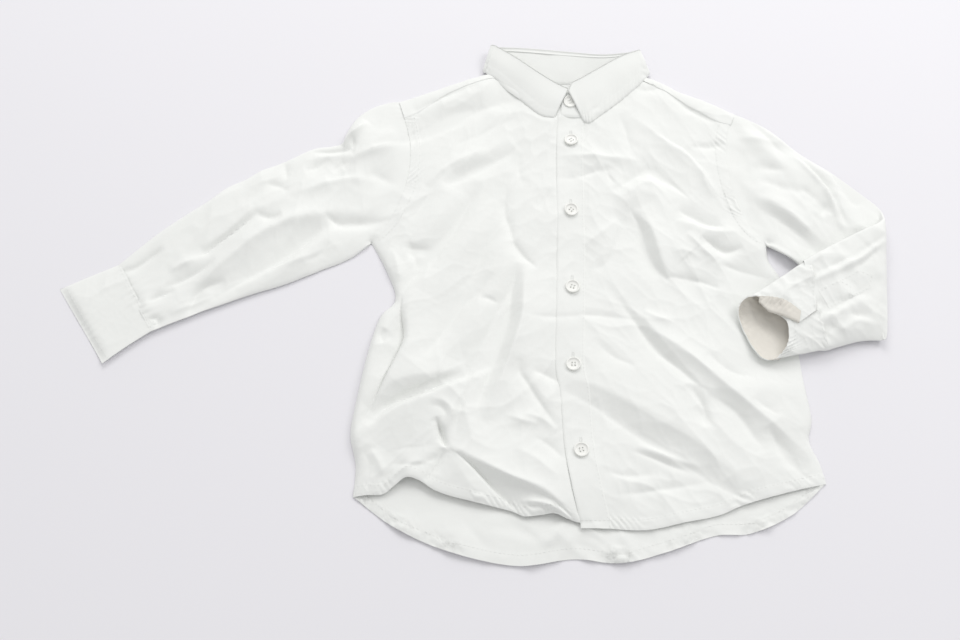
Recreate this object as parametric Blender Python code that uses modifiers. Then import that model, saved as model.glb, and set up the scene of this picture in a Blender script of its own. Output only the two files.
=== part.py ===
"""A toddler's long-sleeved button shirt, laid front up on a table and crumpled.

Each piece that is cut and sewn is an object of its own. Plan places are in millimetres: x runs to the
right of the button line, y runs up towards the collar, and z is the height above the table.
"""

import math
from collections import namedtuple

import bmesh
import bpy
import numpy as np

MM = 0.001
PLAN_MIDDLE = (-76.0, 30.0)      # the middle of the shirt's box, moved to the frame's origin

WALL = 1.2                       # thickness of one layer of cloth
SEAM_GAP = 0.6                   # room left between two pieces at a seam
LAYER_GAP = 0.3                  # room left between two layers that lie on each other
LOW = WALL + LAYER_GAP           # lowest underside of a layer that lies on the back
AIR = 2.6                        # air between front and back where nothing is folded
EDGE_ROLL = 8.0                  # how far from a side edge the front reaches its full height

PLACKET_WIDTH = 23.0
PLACKET_TOP_Y = 186.0
PLACKET_HEM_Y = -168.0
PLACKET_OVERLAP = 17.0           # how far the under front reaches below the placket
UNDER_FRONT_HEM_Y = -161.0
BUTTON_DIAMETER = 11.5
BUTTON_THICKNESS = 2.4
PLACKET_STEP = 3.1               # how far the under front dips to pass below the placket
PLACKET_LOW = LOW + WALL + 3 * LAYER_GAP     # lowest height of the placket, over the under front
SLEEVE_PLACKET_WIDTH = 24.0
SLEEVE_PLACKET_LENGTH = 52.0

CLOTH_WHITE = (0.86, 0.87, 0.85, 1.0)
BUTTON_WHITE = (0.90, 0.90, 0.87, 1.0)

# The armholes, from the armpit up to the shoulder point.
ARMHOLE_RIGHT = ((-163, 70), (-149, 86), (-139, 108), (-133, 134), (-132, 156), (-135, 176), (-143, 205))
ARMHOLE_LEFT = ((163, 66), (151, 80), (142, 102), (137, 128), (136, 150), (139, 172), (147, 192))
ARMHOLE_SHARE = 0.34             # the share of a body piece's rows that end at an armhole
FRONT_ROWS = 31
YOKE_SEAM_PLACE = 0.82           # where along an armhole the front yoke seam crosses it
YOKE_SEAM_BOW = 17.0             # how far the front yoke seam bows up between armhole and neck
YOKE_FRONT_SHARE = 0.56          # the share of a front's top edge that the yoke joins
BACK_YOKE_SEAM_Y = 178.0
NECK_POINT_RIGHT = (-60.0, 226.0)
NECK_POINT_LEFT = (66.0, 222.0)
NECK_HOLLOW = 5.0                # how far the back neck edge dips between the neck points

# The side seams, from the armpit down to the hem.
SIDE_RIGHT = ((-163, 70), (-150, 45), (-141, 18), (-153, 2), (-162, -30), (-170, -75), (-172, -97),
              (-167, -120), (-168, -144))
SIDE_LEFT = ((163, 66), (163, 52), (172, 34), (177, 0), (179, -45), (182, -82), (178, -100),
             (184, -118), (187, -134))

# The hems, from the wearer's right to their left. The tail of the back is the longest.
BACK_HEM = ((-168, -144), (-135, -168), (-92, -186), (-45, -195), (-5, -190), (30, -193), (64, -185),
            (100, -173), (128, -171), (160, -157), (187, -134))
FRONT_HEM_RIGHT = ((-168, -144), (-146, -142), (-127, -133), (-106, -141), (-80, -149), (-46, -157),
                   (-16, -159), (18, -161))
FRONT_HEM_LEFT = ((24.6, -168), (50, -169), (80, -163), (104, -158), (124, -150), (156, -141), (187, -134))

# The placket's free edge, from the collar down to the hem.
PLACKET_EDGE = ((-6, 186), (-8, 150), (-9, 106), (-10, 60), (-12, 10), (-14, -40), (-11, -62),
                (-9, -105), (-5, -135), (1, -164))

# Where each front button sits on the placket: its distance down from the first one.
BUTTON_PLACES = ((5, 165), (2.5, 97), (1.5, 27), (0, -40), (3.5, -109))
STAND_BUTTON_PLACE = (5, 203)
STAND_BUTTON_Z = 9.9

Fold = namedtuple("Fold", "height left right path")
# A fold is a soft ridge, or a trough where its height is negative. Its widths are those of its slopes
# to the left and to the right of the way along its path.
FRONT_FOLDS = (
    Fold(-3.0, 14, 9, ((-136, 165), (-100, 184), (-60, 202), (-36, 206))),
    Fold(4.0, 14, 20, ((-128, 196), (-90, 215), (-58, 222))),
    Fold(4.5, 22, 7, ((-44, 164), (-64, 154), (-96, 136))),
    Fold(-2.5, 7, 16, ((-44, 158), (-60, 148), (-92, 130), (-106, 120))),
    Fold(6.0, 26, 7, ((-64, 130), (-84, 98), (-106, 62), (-132, 24))),
    Fold(-2.0, 8, 12, ((-74, 128), (-92, 96), (-114, 62), (-136, 30))),
    Fold(4.0, 12, 18, ((-52, 100), (-72, 40), (-98, -8), (-122, -44))),
    Fold(-2.4, 9, 7, ((-66, 70), (-84, 22), (-108, -14), (-126, -46))),
    Fold(6.0, 9, 22, ((-40, 62), (-50, 20), (-62, -20), (-84, -60))),
    Fold(-2.6, 9, 7, ((-36, 60), (-44, 20), (-54, -25), (-74, -84))),
    Fold(5.0, 10, 12, ((-26, 40), (-36, 0), (-42, -50), (-60, -100))),
    Fold(9.0, 16, 5, ((-120, 40), (-130, 10), (-127, -20), (-140, -50), (-156, -80))),
    Fold(11.0, 8, 26, ((-170, -96), (-150, -80), (-118, -65), (-90, -52), (-66, -40))),
    Fold(-2.5, 14, 6, ((-150, -66), (-122, -56), (-84, -40))),
    Fold(14.0, 24, 16, ((-132, -92), (-131, -120), (-128, -150))),
    Fold(12.0, 10, 34, ((6, -164), (-20, -139), (-58, -121), (-100, -103))),
    Fold(5.0, 12, 12, ((-96, -116), (-88, -135), (-84, -156))),
    Fold(4.0, 8, 12, ((-8, -88), (-24, -72), (-38, -44))),
    Fold(7.5, 48, 11, ((-20, -42), (30, -62), (80, -92), (122, -126), (150, -152))),
    Fold(-2.6, 7, 14, ((-20, -56), (20, -76), (66, -108), (110, -136), (140, -150))),
    Fold(3.0, 6, 8, ((40, -106), (70, -115), (96, -127))),
    Fold(7.0, 30, 10, ((46, 16), (66, -10), (104, -44), (148, -84), (186, -124))),
    Fold(-2.4, 8, 22, ((40, 10), (58, -16), (92, -54), (126, -88), (160, -124))),
    Fold(5.5, 22, 7, ((58, 104), (72, 74), (76, 52), (92, 38), (124, 22))),
    Fold(-2.4, 7, 20, ((50, 98), (61, 70), (70, 44), (96, 31), (120, 20))),
    Fold(4.5, 9, 18, ((36, 114), (54, 120), (70, 128), (84, 118), (100, 100))),
    Fold(4.0, 8, 16, ((88, 90), (116, 80), (150, 82))),
    Fold(5.0, 8, 14, ((108, 66), (130, 52), (168, 40))),
    Fold(4.5, 12, 12, ((52, 196), (90, 162), (128, 118))),
    Fold(4.0, 12, 20, ((62, 214), (96, 204), (132, 178))),
    Fold(2.2, 10, 10, ((-6, 150), (30, 148), (64, 144))),
    Fold(-1.6, 8, 8, ((-6, 130), (20, 134), (36, 138))),
    Fold(2.4, 9, 14, ((-34, 2), (0, 4), (36, 8))),
)
RIGHT_SLEEVE_FOLDS = (
    Fold(5.0, 8, 26, ((-310, 38), (-272, 68), (-230, 88), (-200, 98), (-150, 92))),
    Fold(-2.5, 12, 7, ((-306, 28), (-270, 60), (-226, 80), (-196, 86), (-150, 84))),
    Fold(4.0, 12, 18, ((-318, 46), (-288, 72), (-256, 100), (-216, 120), (-170, 132))),
    Fold(3.5, 10, 22, ((-302, 8), (-270, 34), (-230, 58), (-180, 72))),
    Fold(3.5, 14, 14, ((-184, 158), (-160, 164), (-134, 168))),
    Fold(3.0, 12, 12, ((-330, 68), (-290, 108), (-250, 134), (-206, 156))),
)
LEFT_SLEEVE_FOLDS = (
    Fold(6.0, 30, 9, ((150, 112), (172, 100), (190, 84), (208, 62))),
    Fold(-2.5, 8, 12, ((152, 106), (168, 94), (186, 76), (202, 56))),
    Fold(3.5, 12, 18, ((184, 156), (206, 128), (224, 92))),
    Fold(3.0, 10, 10, ((150, 176), (172, 150), (196, 118))),
)
FOREARM_FOLDS = (
    Fold(2.6, 7, 10, ((176, 27), (216, 41), (264, 68))),
    Fold(2.2, 8, 12, ((186, -6), (216, 4), (250, 22))),
    Fold(2.0, 8, 12, ((190, -18), (220, -12), (246, -12))),
)

Lean = namedtuple("Lean", "reach before after path")
# A lean carries a ridge sideways, to the right of its path, until it overhangs what lies below it.
FRONT_LEANS = (
    Lean(9.0, 22, 5, ((-112, -96), (-58, -119), (-20, -138), (6, -164))),
    Lean(5.0, 18, 4, ((-124, 40), (-131, 10), (-128, -20), (-142, -52), (-158, -84))),
    Lean(4.0, 14, 4, ((-80, -46), (-118, -62), (-156, -82))),
)


def clear_scene():
    for old in list(bpy.data.objects):
        bpy.data.objects.remove(old, do_unlink=True)


def material(name, colour, roughness):
    made = bpy.data.materials.new(name)
    made.use_nodes = True
    shader = made.node_tree.nodes["Principled BSDF"]
    shader.inputs["Base Color"].default_value = colour
    shader.inputs["Roughness"].default_value = roughness
    shader.inputs["Metallic"].default_value = 0.0
    return made


def through(rows, places):
    """A smooth curve through the rows of a table, read at the given places between 0 and 1."""
    rows = np.array(rows, float)
    last = len(rows) - 1
    where = np.clip(np.asarray(places, float), 0, 1) * last
    first = np.minimum(where.astype(int), last - 1)
    t = (where - first).reshape(-1, *([1] * (rows.ndim - 1)))
    before = rows[np.maximum(first - 1, 0)]
    start = rows[first]
    end = rows[first + 1]
    after = rows[np.minimum(first + 2, last)]
    return start + 0.5 * t * (end - before + t * (2 * before - 5 * start + 4 * end - after
                                                  + t * (3 * (start - end) + after - before)))


def evenly(rows, count):
    """Points evenly apart along a smooth curve through the rows."""
    fine = through(rows, np.linspace(0, 1, 40 * len(rows)))
    steps = np.linalg.norm(np.diff(fine[:, :2], axis=0), axis=1)
    run = np.concatenate(([0], np.cumsum(steps)))
    wanted = np.linspace(0, run[-1], count)
    return np.stack([np.interp(wanted, run, fine[:, k]) for k in range(fine.shape[1])], axis=1)


def smoothstep(t):
    t = np.clip(t, 0, 1)
    return t * t * (3 - 2 * t)


def from_path(x, y, path):
    """Distance of each point from a path, positive on its left, with how far along it lies, 0 to 1."""
    nodes = evenly(path, 6 * len(path))
    lengths = np.linalg.norm(np.diff(nodes, axis=0), axis=1)
    best = np.full(np.shape(x), 1e9)
    signed = np.zeros(np.shape(x))
    along = np.zeros(np.shape(x))
    run = 0.0
    for start, end, length in zip(nodes[:-1], nodes[1:], lengths):
        ux, uy = (end - start) / length
        t = np.clip((x - start[0]) * ux + (y - start[1]) * uy, 0, length)
        dx = x - start[0] - t * ux
        dy = y - start[1] - t * uy
        distance = np.hypot(dx, dy)
        nearer = distance < best
        best = np.where(nearer, distance, best)
        signed = np.where(nearer, np.where(ux * dy - uy * dx > 0, distance, -distance), signed)
        along = np.where(nearer, (run + t) / lengths.sum(), along)
        run += length
    return signed, along


def fold_height(x, y, folds):
    total = np.zeros(np.shape(x))
    for fold in folds:
        side, along = from_path(x, y, fold.path)
        width = np.where(side > 0, fold.left, fold.right)
        taper = np.sqrt(np.clip(np.sin(math.pi * along), 0, 1))
        total += fold.height * taper * np.exp(-(np.abs(side) / width) ** 1.5)
    return total


def leaned(x, y, leans):
    """The points moved sideways where a ridge overhangs."""
    shift_x = np.zeros(np.shape(x))
    shift_y = np.zeros(np.shape(x))
    for lean in leans:
        side, along = from_path(x, y, lean.path)
        start, end = np.array(lean.path[0], float), np.array(lean.path[-1], float)
        ux, uy = (end - start) / np.linalg.norm(end - start)
        width = np.where(side > 0, lean.before, lean.after)
        reach = lean.reach * np.sin(math.pi * along) * np.exp(-(side / width) ** 2)
        shift_x += reach * uy
        shift_y -= reach * ux
    return x + shift_x, y + shift_y


def lift(x, y, folds, edges):
    """Height of a top layer's underside: low at its side edges, at its folds' height between them."""
    height = AIR + fold_height(x, y, folds)
    height = (height + np.sqrt(height ** 2 + 1.0)) / 2
    for edge in edges:
        side, _ = from_path(x, y, edge)
        height = height * (1 - np.exp(-np.abs(side) / EDGE_ROLL))
    return LOW + height


def front_lift(x, y):
    under_cuff = smoothstep((x - 118) / 24) * smoothstep((66 - y) / 26) * smoothstep((y + 62) / 22)
    height = lift(x, y, FRONT_FOLDS, (SIDE_RIGHT, SIDE_LEFT))
    return LOW + (height - LOW) * (1 - 0.62 * under_cuff)


def placket_left(y):
    edge = through(PLACKET_EDGE, np.linspace(0, 1, 60))
    return np.interp(y, edge[::-1, 1], edge[::-1, 0])


def add_mesh(name, vertices, faces, finish, closed=False):
    mesh = bpy.data.meshes.new(name)
    mesh.from_pydata([tuple(v) for v in vertices], [], faces)
    if closed:
        shape = bmesh.new()
        shape.from_mesh(mesh)
        bmesh.ops.recalc_face_normals(shape, faces=shape.faces)
        shape.to_mesh(mesh)
        shape.free()
    mesh.update()
    mesh.shade_smooth()
    made = bpy.data.objects.new(name, mesh)
    bpy.data.collections["crumpled_shirt"].objects.link(made)
    made.data.materials.append(finish)
    made.location = (-PLAN_MIDDLE[0] * MM, -PLAN_MIDDLE[1] * MM, 0)
    return made


def add_sheet(name, grid, finish, wall=WALL, keep=None):
    """A sheet of cloth on a grid of underside points, thickened upwards."""
    rows, columns = grid.shape[:2]
    faces = []
    for r in range(rows - 1):
        for c in range(columns - 1):
            if keep is None or keep(r, c):
                first = r * columns + c
                faces.append((first, first + columns, first + columns + 1, first + 1))
    used = sorted({v for face in faces for v in face})
    number = {old: new for new, old in enumerate(used)}
    vertices = grid.reshape(-1, 3)[used] * MM
    made = add_mesh(name, vertices, [tuple(number[v] for v in face) for face in faces], finish)
    thicken = made.modifiers.new("cloth thickness", "SOLIDIFY")
    thicken.thickness = wall * MM
    thicken.offset = 1.0
    return made


def across(left, right, columns, bow):
    """Plan points from a left edge to a right edge, one row for each pair, bowed up by bow."""
    u = np.linspace(0, 1, columns)[None, :, None]
    points = left[:, None, :] * (1 - u) + right[:, None, :] * u
    points[:, :, 1] += np.asarray(bow)[:, None] * 4 * u[..., 0] * (1 - u[..., 0])
    return points


def add_tube(name, outer, inner, finish):
    """A tube of cloth from its rings of outer points and inner points, open at both ends."""
    rings, around = outer.shape[:2]
    vertices = np.concatenate((outer.reshape(-1, 3), inner.reshape(-1, 3))) * MM
    offset = rings * around
    faces = []
    for r in range(rings - 1):
        for c in range(around):
            a = r * around + c
            b = r * around + (c + 1) % around
            faces.append((a, b, b + around, a + around))
            faces.append((offset + a, offset + a + around, offset + b + around, offset + b))
    for c in range(around):
        d = (c + 1) % around
        end = (rings - 1) * around
        faces.append((c, offset + c, offset + d, d))
        faces.append((end + c, end + d, offset + end + d, offset + end + c))
    return add_mesh(name, vertices, faces, finish, closed=True)


def cosine_steps(count):
    return 0.5 - 0.5 * np.cos(np.linspace(0, math.pi, count))


def armhole_part(path, start, end, count):
    points = evenly(path, 200)
    return points[np.linspace(start * 199, end * 199, count).astype(int)]


def side_edge(armhole, seam, rows):
    """The outer edge of a body piece: down its armhole from the yoke seam, then down its side seam."""
    down = int(rows * ARMHOLE_SHARE)
    return np.concatenate((armhole_part(armhole, YOKE_SEAM_PLACE, 0, down)[:-1],
                           evenly(seam, rows - down + 1)))


def hemmed(plan, hem, share):
    """A piece's plan points with the last row moved to its hem, over the given share of its rows."""
    rows, columns = plan.shape[:2]
    follow = smoothstep((np.linspace(0, 1, rows) - (1 - share)) / share)
    return plan + (evenly(hem, columns) - plan[-1]) * follow[:, None, None]


def build_back(cloth):
    """The back, flat on the table, from the yoke seam down to its longer curved tail."""
    rows, columns = 18, 18
    left = side_edge(ARMHOLE_RIGHT, SIDE_RIGHT, rows)
    right = side_edge(ARMHOLE_LEFT, SIDE_LEFT, rows)
    along_armhole = int(rows * ARMHOLE_SHARE)
    left[:along_armhole, 0] += SEAM_GAP
    right[:along_armhole, 0] -= SEAM_GAP
    plan = hemmed(across(left, right, columns, 0 * left[:, 0]), BACK_HEM, 0.4)
    below_front = smoothstep((-166 - plan[..., 1]) / 18)
    wave = 2.0 * below_front * (1 + np.sin(plan[..., 0] / 19))
    grid = np.dstack((plan, wave))
    add_sheet("back", grid, cloth)


def front_outline(side, rows):
    """Outer and inner edges of one front, from the yoke and neck down to the hem."""
    armhole, seam = (ARMHOLE_RIGHT, SIDE_RIGHT) if side < 0 else (ARMHOLE_LEFT, SIDE_LEFT)
    outer = side_edge(armhole, seam, rows)
    y = np.linspace(PLACKET_TOP_Y, UNDER_FRONT_HEM_Y if side < 0 else PLACKET_HEM_Y, rows)
    inner = np.stack((placket_left(y), y), axis=1)
    inner[:, 0] += PLACKET_OVERLAP if side < 0 else PLACKET_WIDTH + SEAM_GAP
    return outer, inner


def front_plan(side, rows, columns):
    outer, inner = front_outline(side, rows)
    bow = YOKE_SEAM_BOW * (1 - smoothstep(np.linspace(0, 1, rows) / 0.3))
    if side < 0:
        return hemmed(across(outer, inner, columns, bow), FRONT_HEM_RIGHT, 0.3)
    return hemmed(across(inner, outer, columns, bow), FRONT_HEM_LEFT, 0.3)


def build_front_right(cloth):
    """The wearer's right front, which passes below the placket."""
    plan = front_plan(-1, FRONT_ROWS, 15)
    x, y = plan[..., 0], plan[..., 1]
    z = front_lift(x, y)
    below = smoothstep((x - placket_left(y) + 12) / 9)
    z = np.maximum(z - PLACKET_STEP * below, LOW + LAYER_GAP)
    x, y = leaned(x, y, FRONT_LEANS)
    add_sheet("front_right", np.dstack((x, y, z)), cloth)


def build_front_left(cloth):
    """The wearer's left front, from the placket's seam to the side."""
    plan = front_plan(1, FRONT_ROWS, 14)
    z = front_lift(plan[..., 0], plan[..., 1]) + LAYER_GAP
    add_sheet("front_left", np.dstack((plan, z)), cloth)


def build_placket(cloth):
    """The buttonhole placket down the centre, over the right front."""
    y = np.linspace(PLACKET_TOP_Y, PLACKET_HEM_Y, FRONT_ROWS)[:, None]
    x = placket_left(y) + np.linspace(0, PLACKET_WIDTH, 4)[None, :]
    y = y + 0 * x
    z = np.maximum(front_lift(x, y), PLACKET_LOW) + LAYER_GAP
    add_sheet("button_placket", np.dstack((x, y, z)), cloth)


def build_buttons(plastic):
    """Turned buttons with a raised rim, one on the collar stand and five on the placket."""
    radius = BUTTON_DIAMETER / 2
    profile = ((0, 0), (radius * 0.8, 0), (radius, BUTTON_THICKNESS * 0.45), (radius * 0.9, BUTTON_THICKNESS),
               (radius * 0.72, BUTTON_THICKNESS), (radius * 0.6, BUTTON_THICKNESS * 0.6),
               (0, BUTTON_THICKNESS * 0.6))
    sides = 18
    places = [(*STAND_BUTTON_PLACE, STAND_BUTTON_Z)]
    for x, y in BUTTON_PLACES:
        ring_x = x + radius * np.cos(np.linspace(0, 2 * math.pi, 12))
        ring_y = y + radius * np.sin(np.linspace(0, 2 * math.pi, 12))
        top = np.maximum(front_lift(ring_x, ring_y), PLACKET_LOW).max()
        places.append((x, y, top + LAYER_GAP + WALL + LAYER_GAP))
    for number, (x, y, z) in enumerate(places):
        vertices = [(x, y, z), (x, y, z + profile[-1][1])]
        for r, h in profile[1:-1]:
            for k in range(sides):
                turn = 2 * math.pi * k / sides
                vertices.append((x + r * math.cos(turn), y + r * math.sin(turn), z + h))
        rings = len(profile) - 2
        faces = []
        for k in range(sides):
            n = (k + 1) % sides
            faces.append((0, 2 + n, 2 + k))
            last = 2 + (rings - 1) * sides
            faces.append((1, last + k, last + n))
            for r in range(rings - 1):
                base = 2 + r * sides
                faces.append((base + k, base + n, base + sides + n, base + sides + k))
        add_mesh(f"button_{number + 1}", np.array(vertices) * MM, faces, plastic, closed=True)


def build_yoke(cloth):
    """The yoke: below the neck on the table, turned up over each shoulder to the front yoke seam."""
    wing, middle = 7, 6
    lower, roll, upper = 4, 2, 4
    columns = []
    for side, armhole in ((-1, ARMHOLE_RIGHT), (1, ARMHOLE_LEFT)):
        point = evenly(armhole, 200)[-1]
        under = armhole_part(armhole, YOKE_SEAM_PLACE, 1.0, lower)
        seam_outer = armhole_part(armhole, YOKE_SEAM_PLACE, YOKE_SEAM_PLACE, 1)[0]
        outer_front = np.array(front_outline(side, FRONT_ROWS)[0][0])
        inner_front = np.array(front_outline(side, FRONT_ROWS)[1][0])
        neck_point = np.array(NECK_POINT_RIGHT if side < 0 else NECK_POINT_LEFT)
        wing_columns = []
        for w in np.linspace(0.014, 1, wing):
            fold = point * (1 - w) + neck_point * w
            back = np.array((seam_outer[0] * (1 - w) + neck_point[0] * w,
                             seam_outer[1] * (1 - w) + BACK_YOKE_SEAM_Y * w))
            u = w * YOKE_FRONT_SHARE
            front = outer_front * (1 - u) + inner_front * u
            front[1] += YOKE_SEAM_BOW * 4 * u * (1 - u) + SEAM_GAP + 0.4
            wing_columns.append((back, fold, front))
        columns.append(wing_columns)
    left = columns[0]
    right = columns[1][::-1]
    centre = []
    for t in np.linspace(0, 1, middle + 2)[1:-1]:
        x = left[-1][1][0] * (1 - t) + right[0][1][0] * t
        neck_y = NECK_POINT_RIGHT[1] - NECK_HOLLOW * math.sin(math.pi * t)
        centre.append((np.array((x, BACK_YOKE_SEAM_Y)), np.array((x, neck_y)), None))
    everything = left + centre + right
    rows = lower + roll + upper
    grid = np.zeros((rows, len(everything), 3))
    for c, (back, fold, front) in enumerate(everything):
        back = back + np.array((0, SEAM_GAP + 0.3))
        for r in range(lower):
            t = r / (lower - 1)
            edge = fold - np.array((0, 2.0 if front is not None else 0))
            grid[r, c, :2] = back * (1 - t) + edge * t
            grid[r, c, 2] = 1.7 * smoothstep((grid[r, c, 1] - 208) / 12)
        if front is None:
            grid[lower:, c] = grid[lower - 1, c]
            continue
        for k in range(upper):
            t = k / (upper - 1)
            place = (fold - np.array((0, 2.0))) * (1 - t) + front * t
            grid[lower + roll + k, c, :2] = place
            grid[lower + roll + k, c, 2] = front_lift(place[0], place[1]) + LAYER_GAP
        low = grid[lower - 1, c, 2]
        high = grid[lower + roll, c, 2]
        for k in range(roll):
            turn = math.pi * (k + 1) / (roll + 1)
            grid[lower + k, c, :2] = fold + np.array((0, 2.6 * math.sin(turn) - 2.0))
            grid[lower + k, c, 2] = (low + high) / 2 - (high - low) / 2 * math.cos(turn)
    wings = set(range(wing - 1)) | set(range(wing + middle, 2 * wing + middle - 1))
    grid = grid[::-1]
    add_sheet("yoke", grid, cloth, keep=lambda r, c: c in wings or r >= rows - lower)


def build_collar(cloth):
    """The stand round the neck and the leaf that turns over it, from the right front round to the left."""
    stand_rows = (
        # neck seam x, y, z, top edge x, y, z
        (15, 188, 7.6, 13, 212, 7.4),
        (-8, 188, 7.6, -5, 216, 8.2),
        (-28, 196, 7.6, -20, 226, 9.6),
        (-46, 208, 7.8, -38, 238, 11.2),
        (-58, 222, 7.0, -53, 247, 11.6),
        (-55, 228, 5.0, -52, 250, 9.4),
        (-36, 226, 3.6, -35, 248, 8.2),
        (2, 224, 3.4, 0, 245, 8.0),
        (40, 226, 3.6, 36, 245, 8.2),
        (61, 228, 5.0, 56, 246, 9.4),
        (64, 220, 7.0, 58, 242, 11.6),
        (52, 205, 7.8, 42, 234, 11.2),
        (34, 194, 8.6, 24, 224, 10.2),
        (16, 186, 9.2, 11, 214, 9.6),
        (-3, 187, 9.4, -2, 209, 9.6),
    )
    leaf_rows = (
        # seam x, y, z, fold x, y, z, middle x, y, z, outer edge x, y, z
        (3, 213, 9.6, 3, 215, 12.0, -4, 199, 12.6, -11, 181, 11.4),
        (-6, 217, 10.4, -6, 219, 13.2, -13, 203, 14.0, -20, 184, 11.6),
        (-20, 225, 11.6, -22, 228, 15.0, -33, 212, 15.4, -42, 201, 11.8),
        (-38, 238, 13.0, -41, 241, 17.0, -51, 228, 16.6, -58, 217, 12.0),
        (-53, 248, 13.4, -58, 251, 17.4, -66, 240, 15.0, -69, 229, 9.6),
        (-53, 251, 11.4, -60, 254, 12.0, -67, 243, 5.4, -67, 230, 2.4),
        (-35, 249.2, 10.0, -37, 255, 7.0, -38, 244, 1.6, -38, 224, 1.0),
        (0, 246.2, 9.8, 0, 253, 6.8, 0, 242, 1.6, 0, 222, 1.0),
        (36, 246.2, 10.0, 38, 251, 7.0, 40, 242, 1.6, 42, 224, 1.0),
        (57, 247, 11.4, 63, 249, 12.0, 70, 239, 5.4, 72, 224, 2.4),
        (59, 243, 13.4, 63, 246, 17.4, 71, 236, 15.0, 74, 224, 9.6),
        (42, 234, 13.0, 47, 239, 17.0, 56, 224, 16.6, 61, 210, 12.0),
        (24, 225, 12.4, 28, 228, 15.6, 38, 210, 15.4, 46, 196, 12.0),
        (11, 216, 13.4, 13, 218, 16.0, 20, 198, 16.0, 26, 178, 12.4),
        (6, 211, 14.2, 6, 213, 16.0, 11, 196, 16.0, 16, 177, 12.6),
    )
    stand = through(stand_rows, np.linspace(0, 1, 27)).reshape(-1, 2, 3)
    t = np.linspace(0, 1, 4)[None, :, None]
    grid = stand[:, :1] * (1 - t) + stand[:, 1:] * t
    add_sheet("collar_stand", grid, cloth, wall=1.0)
    leaf = through(leaf_rows, np.linspace(0, 1, 31)).reshape(-1, 4, 3)
    grid = np.stack([through(section, np.linspace(0, 1, 7)) for section in leaf])
    add_sheet("collar_leaf", grid[::-1], cloth, wall=1.0)


def build_label(cloth):
    """The blank label sewn inside the back neck."""
    x = np.linspace(-8, 12, 2)[None, :]
    y = np.linspace(222, 211, 2)[:, None]
    grid = np.dstack((x + 0 * y, y + 0 * x, 3.6 + 0 * x + 0 * y))
    add_sheet("neck_label", grid, cloth, wall=1.0)


def ring_points(plan, top, bottom, edge):
    """One ring: along the top from the near edge to the far edge, and back along the bottom."""
    upper = np.column_stack((plan, top))
    lower = np.column_stack((plan, bottom))[::-1]
    upper[0, 2] = edge[0]
    upper[-1, 2] = edge[1]
    return np.concatenate((upper, lower[1:-1]))


def flat_rings(sections, folds, armhole=None, count=21, points=10):
    """Rings of a sleeve that lies flat: sections give near and far edge in plan."""
    rows = through(sections, np.linspace(0, 1, count))
    u = cosine_steps(points)
    outer, inner = [], []
    for n, (near_x, near_y, far_x, far_y) in enumerate(rows):
        near = np.array((near_x, near_y))
        far = np.array((far_x, far_y))
        plan = near * (1 - u)[:, None] + far * u[:, None]
        if armhole is not None:
            bend = max(0.0, 1 - n / (count * 0.35)) ** 2
            curve = evenly(armhole, 200)[(u * 199).astype(int)]
            straight = curve[0] * (1 - u)[:, None] + curve[-1] * u[:, None]
            plan = plan + (curve - straight) * bend
        width = np.linalg.norm(far - near)
        from_edge = np.minimum(u, 1 - u) * width
        rise = 1 - np.exp(-from_edge / EDGE_ROLL)
        free = AIR + fold_height(plan[:, 0], plan[:, 1], folds)
        free = (free + np.sqrt(free ** 2 + 1.0)) / 2
        under = LOW + free * rise
        edge = ((LOW + WALL) / 2,) * 2
        outer.append(ring_points(plan, under + WALL, 0 * under, edge))
        inset = 1.7 / width
        inner_u = inset + u * (1 - 2 * inset)
        inner_plan = np.column_stack([np.interp(inner_u, u, plan[:, k]) for k in range(2)])
        inner_top = np.interp(inner_u, u, under)
        inner.append(ring_points(inner_plan, inner_top, 0 * under + WALL, edge))
    return np.array(outer), np.array(inner)


def build_right_sleeve(cloth):
    """The sleeve that is stretched out, flat on the table, and its closed cuff."""
    sections = (
        # near edge x, y, far edge x, y
        (-163.6, 70, -143.6, 205), (-176, 57, -176, 193), (-190, 49, -190, 168), (-208, 42, -212, 158),
        (-236, 30, -240, 144), (-262, 20, -272, 127), (-290, 9, -303, 106), (-314, -2, -334, 79),
        (-334, -11, -370, 47),
    )
    outer, inner = flat_rings(sections, RIGHT_SLEEVE_FOLDS + FRONT_FOLDS[:2], ARMHOLE_RIGHT)
    add_tube("sleeve_right", outer, inner, cloth)
    cuff = ((-334.6, -11.4, -370.6, 46.6), (-352, -24, -391, 38), (-369, -38, -413, 27))
    outer, inner = flat_rings(cuff, (), count=6)
    add_tube("cuff_right", outer, inner, cloth)


def build_left_sleeve(cloth):
    """The sleeve that is folded back over itself at the elbow."""
    sections = (
        # near edge x, y, far edge x, y, middle height, half of its thickness, turn in degrees
        (163.6, 66, 147.6, 192, 2.9, 2.9, 0),
        (172, 56, 172, 178, 3.2, 3.2, 0),
        (186, 44, 200, 151, 3.1, 3.1, 0),
        (206, 20, 224, 134, 2.3, 2.3, 0),
        (228, -6, 246, 114, 2.1, 2.1, 0),
        (243, -17, 258, 102, 2.3, 2.1, 10),
        (246, -19, 260, 92, 6.6, 2.1, 90),
        (240, -19, 254, 82, 11.0, 2.6, 170),
        (226, -20, 234, 72, 11.6, 3.4, 180),
        (208, -25, 208, 58, 12.4, 4.2, 180),
        (198, -28, 194, 50, 12.8, 4.6, 180),
    )
    rows = through(sections, np.linspace(0, 1, 29))
    rings = []
    for inset, wall in ((0.0, 0.0), (1.9, WALL)):
        layer = []
        for n, row in enumerate(rows):
            first, second = left_sleeve_ring(row, n / len(rows), cosine_steps(10), inset, wall)
            layer.append(np.concatenate((first, second[::-1][1:-1])))
        rings.append(np.array(layer))
    add_tube("sleeve_left", rings[0], rings[1], cloth)
    dense = through(sections, np.linspace(0, 1, 240))
    top = [left_sleeve_ring(row, 1.0, np.linspace(0, 1, 90), 0.0, 0.0)[1] for row in dense if row[6] > 175]
    return np.concatenate(top)


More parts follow.
